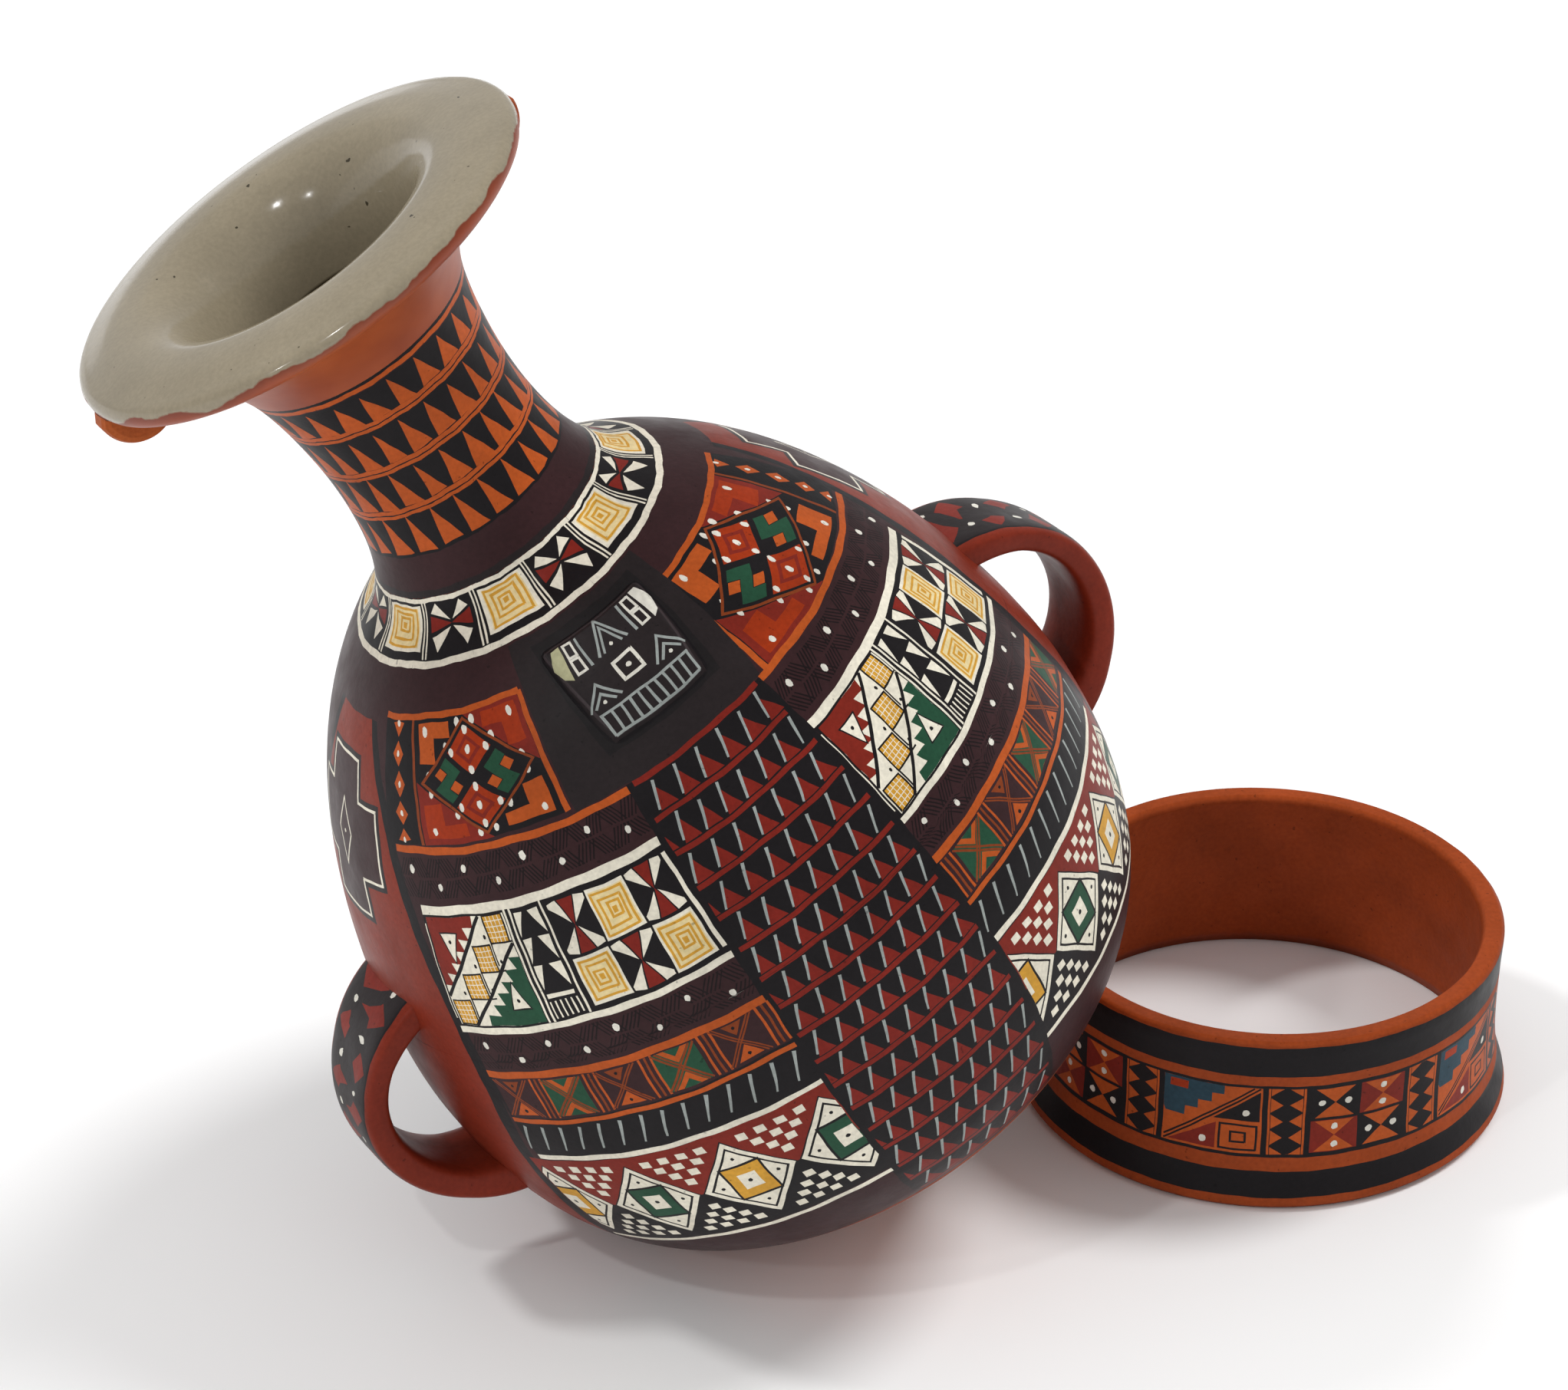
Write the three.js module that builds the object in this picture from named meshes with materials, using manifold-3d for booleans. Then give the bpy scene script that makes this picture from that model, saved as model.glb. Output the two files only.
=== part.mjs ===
// Painted clay jar with a pointed base, a long flared neck and two strap handles, lying on the
// flank of its base cone beside the low clay ring that it stands in when it is upright.
// Millimetres, +Z up. The origin is on the ground, under the middle of the whole object.
// The jar is shaped upright in its own frame first, with its axis on Z, its foot at zero and its
// front towards -Y. Then it is turned about its axis, leaned over and set on the ground.
import * as THREE from 'three';
import { mergeVertices } from 'three/addons/utils/BufferGeometryUtils.js';
import Module from 'manifold-3d';

const wasm = await Module();
wasm.setup();

// Base cone: its straight flank sets how far the jar leans when it lies on it.
const footRadius = 12;
const coneTopRadius = 62;
const coneHeight = 28.6;
const floorThickness = 9;

// Belly and shoulder: heights are counted from the level below them.
const bellyRadius = 92.8;
const lowerBellyHeight = 66.4;
const upperBellyHeight = 112.5;
const shoulderSeamHeight = 27;
const shoulderTopRadius = 36.1;
const shoulderTopSlope = 1.64;
const bodyWall = 6.5;

// Neck: it narrows from the shoulder to its waist and opens again towards the lip.
const neckRadius = 25;
const neckFootHeight = 35.5;
const neckSeamHeight = 7.4;
const neckHeadHeight = 30.1;
const neckTopRadius = 29.5;
const neckTopSlope = 0.4;
const neckWall = 5;

// How far each outline curve runs straight on at its ends, as a share of the curve's height.
const coneTopRun = 0.188;
const bellyUnderRun = 0.497;
const bellyOverRun = 0.16;
const shoulderRun = 0.252;
const neckFootRun = 0.1;
const waistUnderRun = 0.585;
const waistOverRun = 0.244;
const neckTopRun = 0.255;

// Lip: a wide trumpet with a rounded rim and a brim that rises a little towards its crest. Its
// mouth tilts a few degrees backwards, so its front edge stands higher.
const lipRadius = 58.5;
const rimThickness = 6.2;
const rimHeight = 19.2;
const brimWidth = 16.5;
const brimRise = 2.1;
const lipTilt = 3;

// Lip curves: how far they run straight on, as shares of the rim height and of the brim width.
const lipFootRun = 0.48;
const rimDip = 0.06;
const brimOuterRun = 0.4;
const brimBulge = 0.8;
const brimInnerRun = 0.3;
const crestRun = 0.65;
const throatRun = 0.8;
const throatFlare = 0.1;

// Strap handles: each is a half ring of clay in the plane of the jar's axis, narrow at its middle
// and spread where it joins the wall, wider at the top joint.
const handleSet = 14.5;
const handleReach = 34.1;
const handleHalfHeight = 31.8;
const handleLift = 6.6;
const handleHoleLift = 1;
const strapThickness = 7.4;
const strapWidth = 23;
const strapRounding = 2.8;
const topJointSpread = 1.4;
const lowJointSpread = 1.22;

// Small ears that hang from the lip, in line with the handles.
const earRadius = 9.5;
const earInset = 8.5;
const earThickness = 8;
const earRounding = 1.8;

// Raised plaque on the front of the shoulder.
const plaqueTopWidth = 27;
const plaqueFootWidth = 21;
const plaqueLength = 27;
const plaqueRise = 5;
const plaqueRounding = 2.2;
const plaqueCornerRadius = 5;
const plaqueHeight = 95.5;
const plaqueRoot = 12;

// Ring stand: a low spool with a flared foot.
const standTopRadius = 60;
const standWaistDraw = 0.8;
const standWaistRadius = standTopRadius - standWaistDraw;
const standFootSpread = 3.5;
const standFootRadius = standTopRadius + standFootSpread;
const standHeight = 48.1;
const standTopWall = 6;
const standFootWall = 6;
const standEdge = 1.6;
const standWaistHeight = 26.5;
const standFlareHeight = 9.6;
const standFlareReach = 1.1;

// How the two pieces lie beside each other. Headings are degrees from +X, seen from above, and the
// ground flat is the facet of the base cone that lies down, counted from the jar's +X.
const jarHeading = 188.9;
const ringHeading = 21;
const ringGap = 0.6;
const groundFlat = 21.5;

// Gap between pieces that are luted together.
const seam = 0.3;

// How finely round shapes are divided.
const roundSegments = 48;
const bellySteps = 7;
const shoulderSteps = 10;
const neckSteps = 6;
const neckHeadSteps = 4;
const lipSteps = 6;
const rimSteps = 4;
const brimSteps = 3;
const strapSteps = 16;
const roundingSteps = 2;
const cornerSteps = 3;
const standSteps = 7;
const ringSamples = 192;
const halvings = 30;

// Colours and roughness of the bare clay, the painted slips and the glaze.
const bareClay = 0xa9512c;
const bellySlip = 0x3a2526;
const shoulderSlip = 0x4a2a26;
const neckSlip = 0x33282a;
const handleSlip = 0x8a3320;
const plaqueSlip = 0x2a2728;
const mouthGlaze = 0x9a9580;
const bareRoughness = 0.55;
const slipRoughness = 0.42;
const glazeRoughness = 0.18;

const tau = Math.PI * 2;

// Levels on the jar's axis, counted from the foot.
const bellyLevel = coneHeight + lowerBellyHeight;
const shoulderSeamLevel = bellyLevel + shoulderSeamHeight;
const shoulderTopLevel = bellyLevel + upperBellyHeight;
const neckSeamLevel = shoulderTopLevel + neckSeamHeight;
const neckWaistLevel = shoulderTopLevel + neckFootHeight;
const neckTopLevel = neckWaistLevel + neckHeadHeight;
const rimLevel = neckTopLevel + rimHeight;
const coneSlope = (coneTopRadius - footRadius) / coneHeight;

// A cubic curve between two outline points. Each end has its slope, in radius per height, and
// the height over which the curve leaves that end along it.
function outlineCurve(start, startSlope, startRun, end, endSlope, endRun) {
  return new THREE.CubicBezierCurve(
    start,
    new THREE.Vector2(start.x + startSlope * startRun, start.y + startRun),
    new THREE.Vector2(end.x - endSlope * endRun, end.y - endRun),
    end,
  );
}

// Outer wall from the foot to the top of the neck: x is the radius and y the height.
const foot = new THREE.Vector2(footRadius, 0);
const coneTop = new THREE.Vector2(coneTopRadius, coneHeight);
const widest = new THREE.Vector2(bellyRadius, bellyLevel);
const shoulderTop = new THREE.Vector2(shoulderTopRadius, shoulderTopLevel);
const neckWaist = new THREE.Vector2(neckRadius, neckWaistLevel);
const neckTop = new THREE.Vector2(neckTopRadius, neckTopLevel);
const lowerBelly = outlineCurve(
  coneTop, coneSlope, lowerBellyHeight * coneTopRun,
  widest, 0, lowerBellyHeight * bellyUnderRun,
);
const upperBelly = outlineCurve(
  widest, 0, upperBellyHeight * bellyOverRun,
  shoulderTop, -shoulderTopSlope, upperBellyHeight * shoulderRun,
);
const neckFoot = outlineCurve(
  shoulderTop, -shoulderTopSlope, neckFootHeight * neckFootRun,
  neckWaist, 0, neckFootHeight * waistUnderRun,
);
const neckHead = outlineCurve(
  neckWaist, 0, neckHeadHeight * waistOverRun,
  neckTop, neckTopSlope, neckHeadHeight * neckTopRun,
);
const outerWall = [
  foot,
  coneTop,
  ...lowerBelly.getPoints(bellySteps).slice(1),
  ...upperBelly.getPoints(shoulderSteps).slice(1),
  ...neckFoot.getPoints(neckSteps).slice(1),
  ...neckHead.getPoints(neckHeadSteps).slice(1),
];

// The same wall moved inwards, square to itself, by the thickness of the clay.
function offsetWall(wall, thickness) {
  return wall.map((point, index) => {
    const before = wall[Math.max(index - 1, 0)];
    const after = wall[Math.min(index + 1, wall.length - 1)];
    const along = after.clone().sub(before).normalize();
    return new THREE.Vector2(point.x - along.y * thickness, point.y + along.x * thickness);
  });
}

// Radius of a wall at a height, on the straight steps between its points.
function radiusAt(wall, height) {
  const last = wall.length - 1;
  const next = Math.min(Math.max(wall.findIndex((point) => point.y >= height), 1), last);
  const low = wall[next - 1];
  const high = wall[next];
  const share = (height - low.y) / (high.y - low.y);
  return THREE.MathUtils.lerp(low.x, high.x, share);
}

// The part of a wall between two heights, with a point exactly at each.
function wallBetween(wall, low, high) {
  const inside = wall.filter((point) => point.y > low + seam && point.y < high - seam);
  return [
    new THREE.Vector2(radiusAt(wall, low), low),
    ...inside,
    new THREE.Vector2(radiusAt(wall, high), high),
  ];
}

// A closed outline turned about the axis and stood up, so that its heights run along Z.
function turned(outline) {
  const geometry = new THREE.LatheGeometry([...outline, outline[0]], roundSegments);
  return geometry.rotateX(Math.PI / 2);
}

// A hollow section of the jar's wall between two seams.
function wallSection(inner, low, high) {
  const outside = wallBetween(outerWall, low, high);
  const inside = wallBetween(inner, low, high);
  return turned([...outside, ...inside.reverse()]);
}

const bodyInner = offsetWall(outerWall, bodyWall);
const neckInner = offsetWall(outerWall, neckWall);
const halfSeam = seam / 2;

function baseCone() {
  const top = coneHeight - halfSeam;
  const floorRadius = radiusAt(bodyInner, floorThickness);
  return turned([
    new THREE.Vector2(0, 0),
    foot,
    new THREE.Vector2(radiusAt(outerWall, top), top),
    new THREE.Vector2(radiusAt(bodyInner, top), top),
    new THREE.Vector2(floorRadius, floorThickness),
    new THREE.Vector2(0, floorThickness),
  ]);
}

// Lip outline: under the trumpet, round the rim, over the brim and down into the throat.
const rimRadius = rimThickness / 2;
const rimCentre = new THREE.Vector2(lipRadius - rimRadius, rimLevel + rimRadius);
const crest = new THREE.Vector2(lipRadius - brimWidth, rimLevel + rimThickness + brimRise);
const lipBottom = neckTopLevel + halfSeam;
const throat = new THREE.Vector2(radiusAt(neckInner, neckTopLevel), lipBottom);
const lipUnder = new THREE.CubicBezierCurve(
  new THREE.Vector2(neckTopRadius, lipBottom),
  new THREE.Vector2(
    neckTopRadius + neckTopSlope * rimHeight * lipFootRun,
    neckTopLevel + rimHeight * lipFootRun,
  ),
  new THREE.Vector2(crest.x, rimLevel - rimHeight * rimDip),
  new THREE.Vector2(rimCentre.x, rimLevel),
);
const rimArc = new THREE.EllipseCurve(
  rimCentre.x, rimCentre.y, rimRadius, rimRadius, -Math.PI / 2, Math.PI / 2,
);
const rimTop = rimCentre.y + rimRadius;
const brimTop = new THREE.CubicBezierCurve(
  new THREE.Vector2(rimCentre.x, rimTop),
  new THREE.Vector2(rimCentre.x - brimWidth * brimOuterRun, rimTop + brimRise * brimBulge),
  new THREE.Vector2(crest.x + brimWidth * brimInnerRun, crest.y),
  crest,
);
const funnel = new THREE.CubicBezierCurve(
  crest,
  new THREE.Vector2(crest.x - brimWidth * crestRun, crest.y),
  new THREE.Vector2(throat.x + rimHeight * throatFlare, throat.y + rimHeight * throatRun),
  throat,
);
const lipOutside = [...lipUnder.getPoints(lipSteps), ...rimArc.getPoints(rimSteps).slice(1)];
const lipInside = [
  ...brimTop.getPoints(brimSteps).slice(1),
  ...funnel.getPoints(lipSteps).slice(1),
];

// Tilts a shape of the lip backwards: nothing at the neck, the full tilt from the rim up.
function tilted(geometry) {
  const fall = Math.tan(THREE.MathUtils.degToRad(lipTilt));
  const position = geometry.attributes.position;
  for (let index = 0; index < position.count; index += 1) {
    const height = position.getZ(index);
    const share = THREE.MathUtils.clamp((height - lipBottom) / (rimLevel - lipBottom), 0, 1);
    position.setZ(index, height - position.getY(index) * fall * share);
  }
  return geometry;
}

function lip() {
  return tilted(turned([...lipOutside, ...lipInside]));
}

// A mesh's triangles as a solid that can be cut, with its shared corners merged.
function toSolid(geometry) {
  const plain = geometry.clone();
  plain.deleteAttribute('normal');
  plain.deleteAttribute('uv');
  const merged = mergeVertices(plain, 1e-4);
  return new wasm.Manifold(new wasm.Mesh({
    numProp: 3,
    vertProperties: new Float32Array(merged.attributes.position.array),
    triVerts: new Uint32Array(merged.index.array),
  }));
}

function toGeometry(solid) {
  const mesh = solid.getMesh();
  const geometry = new THREE.BufferGeometry();
  geometry.setAttribute('position', new THREE.BufferAttribute(mesh.vertProperties, 3));
  geometry.setIndex(new THREE.BufferAttribute(mesh.triVerts, 1));
  geometry.computeVertexNormals();
  return geometry;
}

// The filled jar, larger by the seam, that cuts what is luted on to its wall.
const wallCutter = toSolid(turned([
  new THREE.Vector2(0, -seam),
  ...offsetWall(outerWall, -seam),
  new THREE.Vector2(0, neckTopLevel),
]));

// The filled lip, larger by the seam, that cuts the ears.
const lipCutter = toSolid(tilted(turned([
  new THREE.Vector2(0, lipOutside[0].y - seam),
  ...offsetWall(lipOutside, -seam),
  new THREE.Vector2(0, crest.y),
])));

// Half ring seen from the front, its two ends inside the jar's wall.
function strapOutline() {
  const quarter = Math.PI / 2;
  const outer = new THREE.EllipseCurve(
    0, 0, handleReach, handleHalfHeight, -quarter, quarter,
  );
  const inner = new THREE.EllipseCurve(
    0, handleHoleLift, handleReach - strapThickness, handleHalfHeight - strapThickness,
    quarter, -quarter, true,
  );
  return new THREE.Shape([...outer.getPoints(strapSteps), ...inner.getPoints(strapSteps)]);
}

// A slab of the given width with rounded edges, whose outline stands in the XZ plane.
function slab(outline, width, rounding) {
  const geometry = new THREE.ExtrudeGeometry(outline, {
    depth: width - 2 * rounding,
    bevelEnabled: true,
    bevelThickness: rounding,
    bevelSize: rounding,
    bevelOffset: -rounding,
    bevelSegments: roundingSteps,
    curveSegments: strapSteps,
  });
  geometry.translate(0, 0, rounding - width / 2);
  return geometry.rotateX(Math.PI / 2);
}

// Widens a strap towards its two joints: the spread grows with the square of the height.
function spreadJoints(strap) {
  const position = strap.attributes.position;
  for (let index = 0; index < position.count; index += 1) {
    const share = position.getZ(index) / handleHalfHeight;
    const spread = (share > 0 ? topJointSpread : lowJointSpread) - 1;
    position.setY(index, position.getY(index) * (1 + spread * share * share));
  }
}

function handle(side) {
  const strap = slab(strapOutline(), strapWidth, strapRounding);
  spreadJoints(strap);
  strap.translate(bellyRadius - handleSet, 0, bellyLevel + handleLift);
  strap.rotateZ(side > 0 ? 0 : Math.PI);
  return toGeometry(toSolid(strap).subtract(wallCutter));
}

function ear(side) {
  const outline = new THREE.Shape();
  outline.absarc(0, 0, earRadius, Math.PI, tau, false);
  outline.lineTo(earRadius - earRounding, rimThickness / 2);
  outline.lineTo(earRounding - earRadius, rimThickness / 2);
  const disc = slab(outline, earThickness, earRounding);
  disc.translate(lipRadius - earInset, 0, rimLevel - seam);
  disc.rotateZ(side > 0 ? 0 : Math.PI);
  return toGeometry(toSolid(disc).subtract(lipCutter));
}

// Rounded trapezoid, wide end up, that stands square to the shoulder at its middle.
function plaque() {
  const corner = plaqueCornerRadius;
  const halfTop = plaqueTopWidth / 2;
  const halfFoot = plaqueFootWidth / 2;
  const halfLength = plaqueLength / 2;
  const outline = new THREE.Shape();
  outline.moveTo(-halfFoot + corner, -halfLength);
  outline.lineTo(halfFoot - corner, -halfLength);
  outline.quadraticCurveTo(halfFoot, -halfLength, halfFoot, -halfLength + corner);
  outline.lineTo(halfTop, halfLength - corner);
  outline.quadraticCurveTo(halfTop, halfLength, halfTop - corner, halfLength);
  outline.lineTo(-halfTop + corner, halfLength);
  outline.quadraticCurveTo(-halfTop, halfLength, -halfTop, halfLength - corner);
  outline.lineTo(-halfFoot, -halfLength + corner);
  outline.quadraticCurveTo(-halfFoot, -halfLength, -halfFoot + corner, -halfLength);
  const block = new THREE.ExtrudeGeometry(outline, {
    depth: plaqueRoot + plaqueRise - plaqueRounding,
    bevelEnabled: true,
    bevelThickness: plaqueRounding,
    bevelSize: plaqueRounding,
    bevelOffset: -plaqueRounding,
    bevelSegments: roundingSteps,
    curveSegments: cornerSteps,
  });
  block.translate(0, 0, -plaqueRoot);
  const level = bellyLevel + plaqueHeight;
  const reach = plaqueLength / 2;
  const fall = radiusAt(outerWall, level - reach) - radiusAt(outerWall, level + reach);
  block.rotateX(Math.atan2(2 * reach, fall));
  block.translate(0, -radiusAt(outerWall, level), level);
  return toGeometry(toSolid(block).subtract(wallCutter));
}

// Outside of the ring stand, from its foot up.
const standOutside = new THREE.SplineCurve([
  new THREE.Vector2(standFootRadius, standEdge),
  new THREE.Vector2(standWaistRadius + standFlareReach, standFlareHeight),
  new THREE.Vector2(standWaistRadius, standWaistHeight),
  new THREE.Vector2(standTopRadius, standHeight - standEdge),
]).getPoints(standSteps);

function ringStand() {
  return turned([
    new THREE.Vector2(standFootRadius - standEdge, 0),
    ...standOutside,
    new THREE.Vector2(standTopRadius - standEdge, standHeight),
    new THREE.Vector2(standTopRadius - standTopWall + standEdge, standHeight),
    new THREE.Vector2(standTopRadius - standTopWall, standHeight - standEdge),
    new THREE.Vector2(standFootRadius - standFootWall, standEdge),
    new THREE.Vector2(standFootRadius - standFootWall + standEdge, 0),
  ]);
}

// Each piece has its own material, because its slip or glaze is its own.
function piece(name, geometry, color, roughness) {
  const material = new THREE.MeshStandardMaterial({ color, roughness, metalness: 0 });
  const mesh = new THREE.Mesh(geometry, material);
  mesh.name = name;
  return mesh;
}

const belly = wallSection(bodyInner, coneHeight + halfSeam, shoulderSeamLevel - halfSeam);
const shoulder = wallSection(
  bodyInner, shoulderSeamLevel + halfSeam, neckSeamLevel - halfSeam,
);
const neck = wallSection(neckInner, neckSeamLevel + halfSeam, neckTopLevel - halfSeam);
const jar = new THREE.Group();
jar.add(
  piece('base_cone', baseCone(), bareClay, bareRoughness),
  piece('belly', belly, bellySlip, slipRoughness),
  piece('shoulder', shoulder, shoulderSlip, slipRoughness),
  piece('neck', neck, neckSlip, slipRoughness),
  piece('flared_lip', lip(), mouthGlaze, glazeRoughness),
  piece('handle_left', handle(-1), handleSlip, slipRoughness),
  piece('handle_right', handle(1), handleSlip, slipRoughness),
  piece('lip_ear_left', ear(-1), bareClay, bareRoughness),
  piece('lip_ear_right', ear(1), bareClay, bareRoughness),
  piece('front_plaque', plaque(), plaqueSlip, slipRoughness),
);

// One flat of the many-sided base cone lies on the ground, so the jar leans by the cone's flank.
const flatShare = Math.cos(Math.PI / roundSegments);
const lean = Math.atan2(coneHeight, (coneTopRadius - footRadius) * flatShare);
const spin = tau - groundFlat * (tau / roundSegments);
const heading = THREE.MathUtils.degToRad(jarHeading);
const leaning = new THREE.Group();
jar.rotation.z = spin;
leaning.rotation.y = lean;
leaning.add(jar);
const laidJar = new THREE.Group();
laidJar.rotation.z = heading;
laidJar.add(leaning);
laidJar.updateMatrixWorld(true);
laidJar.position.z = -new THREE.Box3().setFromObject(laidJar, true).min.z;
laidJar.updateMatrixWorld(true);

// True if the ring, at this distance from the jar's foot, is clear of the jar by the ring gap.
const ringDirection = new THREE.Vector2(1, 0).rotateAround(
  new THREE.Vector2(), THREE.MathUtils.degToRad(ringHeading),
);
const ringAngles = Array.from({ length: ringSamples }, (_, step) => (step * tau) / ringSamples);
const ringProfile = [...standOutside, new THREE.Vector2(standTopRadius, standHeight)];
function ringIsClear(distance) {
  return ringProfile.every((rim) => ringAngles.every((angle) => {
    const point = jar.worldToLocal(new THREE.Vector3(
      ringDirection.x * distance + rim.x * Math.cos(angle),
      ringDirection.y * distance + rim.x * Math.sin(angle),
      rim.y,
    ));
    const level = THREE.MathUtils.clamp(point.z, 0, neckTopLevel);
    const below = Math.max(-point.z, 0);
    return Math.hypot(point.x, point.y) + below - radiusAt(outerWall, level) > ringGap;
  }));
}

// The nearest place for the ring, found by halving the range that it must lie in.
let tooNear = 0;
let farEnough = rimLevel + bellyRadius + standFootRadius;
for (let halving = 0; halving < halvings; halving += 1) {
  const between = (tooNear + farEnough) / 2;
  if (ringIsClear(between)) {
    farEnough = between;
  } else {
    tooNear = between;
  }
}

const stand = piece('ring_stand', ringStand(), bareClay, bareRoughness);
stand.position.set(ringDirection.x * farEnough, ringDirection.y * farEnough, 0);

const group = new THREE.Group();
group.add(laidJar, stand);
const bounds = new THREE.Box3().setFromObject(group, true);
const middle = bounds.getCenter(new THREE.Vector3());
group.position.set(-middle.x, -middle.y, -bounds.min.z);

export default group;
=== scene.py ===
import math

import bpy
import numpy as np
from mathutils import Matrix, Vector
from mathutils.geometry import delaunay_2d_cdt


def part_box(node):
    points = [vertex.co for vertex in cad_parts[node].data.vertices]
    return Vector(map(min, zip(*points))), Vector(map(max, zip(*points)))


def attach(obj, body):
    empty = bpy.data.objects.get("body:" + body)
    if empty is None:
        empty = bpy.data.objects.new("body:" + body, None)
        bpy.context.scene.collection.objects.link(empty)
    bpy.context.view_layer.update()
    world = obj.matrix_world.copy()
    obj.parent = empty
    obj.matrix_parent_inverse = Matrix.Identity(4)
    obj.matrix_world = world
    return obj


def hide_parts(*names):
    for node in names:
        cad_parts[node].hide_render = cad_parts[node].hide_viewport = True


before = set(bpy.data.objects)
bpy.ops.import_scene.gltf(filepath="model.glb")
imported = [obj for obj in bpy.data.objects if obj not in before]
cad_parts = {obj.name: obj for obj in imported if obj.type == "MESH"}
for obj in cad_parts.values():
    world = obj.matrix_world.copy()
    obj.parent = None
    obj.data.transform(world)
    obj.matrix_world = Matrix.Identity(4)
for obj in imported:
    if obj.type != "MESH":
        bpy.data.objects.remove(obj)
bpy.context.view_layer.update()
random = np.random.default_rng(7)

# Fired clay slips and glazes, as they look in daylight, and two colours of painted light for the
# raised block: a shade and a highlight.
SLIPS = {
    "purple": "#321d1f",
    "hatch": "#170e10",
    "charcoal": "#241e1f",
    # Painted shade round the foot of the raised block.
    "hollow": "#1c191a",
    # Painted highlight along the raised block's rounded edge.
    "rubbed": "#383032",
    "black": "#171416",
    "maroon": "#751f16",
    "red": "#752217",
    "flank": "#752818",
    "flame": "#922e0c",
    "orange": "#aa4d1c",
    "rust": "#7b3717",
    "cream": "#dad4c3",
    "straw": "#d9c694",
    "white": "#d1cec3",
    "pale": "#a7a582",
    "grey": "#909693",
    "ochre": "#c49132",
    "green": "#1f4632",
    "blue": "#253d49",
    "clay": "#913e19",
    "glaze": "#8a806c",
}
# How matt each slip is, from 0 for burnished to 1 for bare clay.
MATT = {"clay": 0.8, "cream": 0.35, "white": 0.4, "grey": 0.4, "ochre": 0.35, "glaze": 0.0}


def linear(text):
    """The linear colour of an sRGB hex colour, with alpha 1."""
    values = [int(text[k : k + 2], 16) / 255 for k in (1, 3, 5)]
    return [v / 12.92 if v <= 0.04045 else ((v + 0.055) / 1.055) ** 2.4 for v in values] + [1.0]


# The colour of each slip, with how matt it is in place of alpha.
SLIP_COLOURS = {
    name: [*linear(text)[:3], MATT.get(name, 0.15)] for name, text in SLIPS.items()
}

# The solids are turned in this many facets, and the finish touches the middle of each.
FACETS = 48
FACET = math.cos(math.pi / FACETS)
# Heights along the jar's axis where its sections meet, and the thickness of their walls.
CONE_TOP, SEAM, NECK_FOOT, LIP_FOOT = 28.6, 122, 214.9, 273.1
WALL_THICK, NECK_THICK = 6.5, 5
FOOT_RADIUS, CONE_RADIUS = 12, 62
# Where the jar lies: it is turned about its axis, leaned over until its base cone lies on the
# floor, and turned to its heading.
HEADING = math.radians(188.9)
LEAN = math.atan2(CONE_TOP, (CONE_RADIUS - FOOT_RADIUS) * FACET)
SPIN = math.radians(360 - 21.5 * 360 / FACETS)
# Azimuth of the middle of the painted front.
FRONT = -90


def about_z(angle):
    """Rotation matrix about the upright axis."""
    c, s = math.cos(angle), math.sin(angle)
    return np.array([[c, -s, 0], [s, c, 0], [0, 0, 1]])


def about_y(angle):
    """Rotation matrix that tips the upright axis towards x."""
    c, s = math.cos(angle), math.sin(angle)
    return np.array([[c, 0, s], [0, 1, 0], [-s, 0, c]])


JAR_TURN = about_z(HEADING) @ about_y(LEAN) @ about_z(SPIN)


def node_points(name):
    """The vertices of a CAD node in millimetres."""
    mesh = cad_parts[name].data
    points = np.empty(len(mesh.vertices) * 3)
    mesh.vertices.foreach_get("co", points)
    return points.reshape(-1, 3) * 1000


def foot_centre():
    """The middle of the base cone's foot: the mean of the ring of vertices lowest on the axis."""
    points = node_points("base_cone")
    along = points @ JAR_TURN[:, 2]
    ring = points[along < along.min() + 0.05]
    return np.unique(ring.round(2), axis=0).mean(axis=0)


FOOT = foot_centre()
ring_low, ring_high = (np.array(corner) * 1000 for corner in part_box("ring_stand"))
RING = np.array([(ring_low[0] + ring_high[0]) / 2, (ring_low[1] + ring_high[1]) / 2, 0])


def on_jar(points):
    """Turns points of the upright jar to where it lies."""
    return points @ JAR_TURN.T + FOOT


def on_stand(points):
    """Moves points of the ring stand to where it stands."""
    return points + RING


def cubic(a, b, c, d, steps):
    """The cubic blend of four points, which leaves a towards b and comes to d from c."""
    t = np.linspace(0, 1, steps)[:, None]
    a, b, c, d = (np.array(q, float) for q in (a, b, c, d))
    return (1 - t) ** 3 * a + 3 * (1 - t) ** 2 * t * b + 3 * (1 - t) * t**2 * c + t**3 * d


def sloped(start, start_slope, start_run, end, end_slope, end_run):
    """Cubic curve of (radius, height) that leaves each end along its slope, over its run."""
    leave = np.array(start) + np.array([start_slope, 1]) * start_run
    reach = np.array(end) - np.array([end_slope, 1]) * end_run
    return cubic(start, leave, reach, end, 60)


# Outer wall of the jar as (radius, height), from the foot over the widest part, the shoulder and
# the waist of the neck to its top.
WIDEST, NECK_START, WAIST, NECK_TOP = (92.8, 95), (36.1, 207.5), (25, 243), (29.5, LIP_FOOT)
SHOULDER_SLOPE = -1.64
WALL = np.concatenate([
    [[FOOT_RADIUS, 0]],
    sloped((CONE_RADIUS, CONE_TOP), (CONE_RADIUS - FOOT_RADIUS) / CONE_TOP, 12.5, WIDEST, 0, 33),
    sloped(WIDEST, 0, 18, NECK_START, SHOULDER_SLOPE, 28.35)[1:],
    sloped(NECK_START, SHOULDER_SLOPE, 3.55, WAIST, 0, 20.8)[1:],
    sloped(WAIST, 0, 7.35, NECK_TOP, 0.4, 7.7)[1:],
])


def wall_radius(height):
    """Radius of the jar's outer wall at a height."""
    return np.interp(height, WALL[:, 1], WALL[:, 0])


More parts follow.
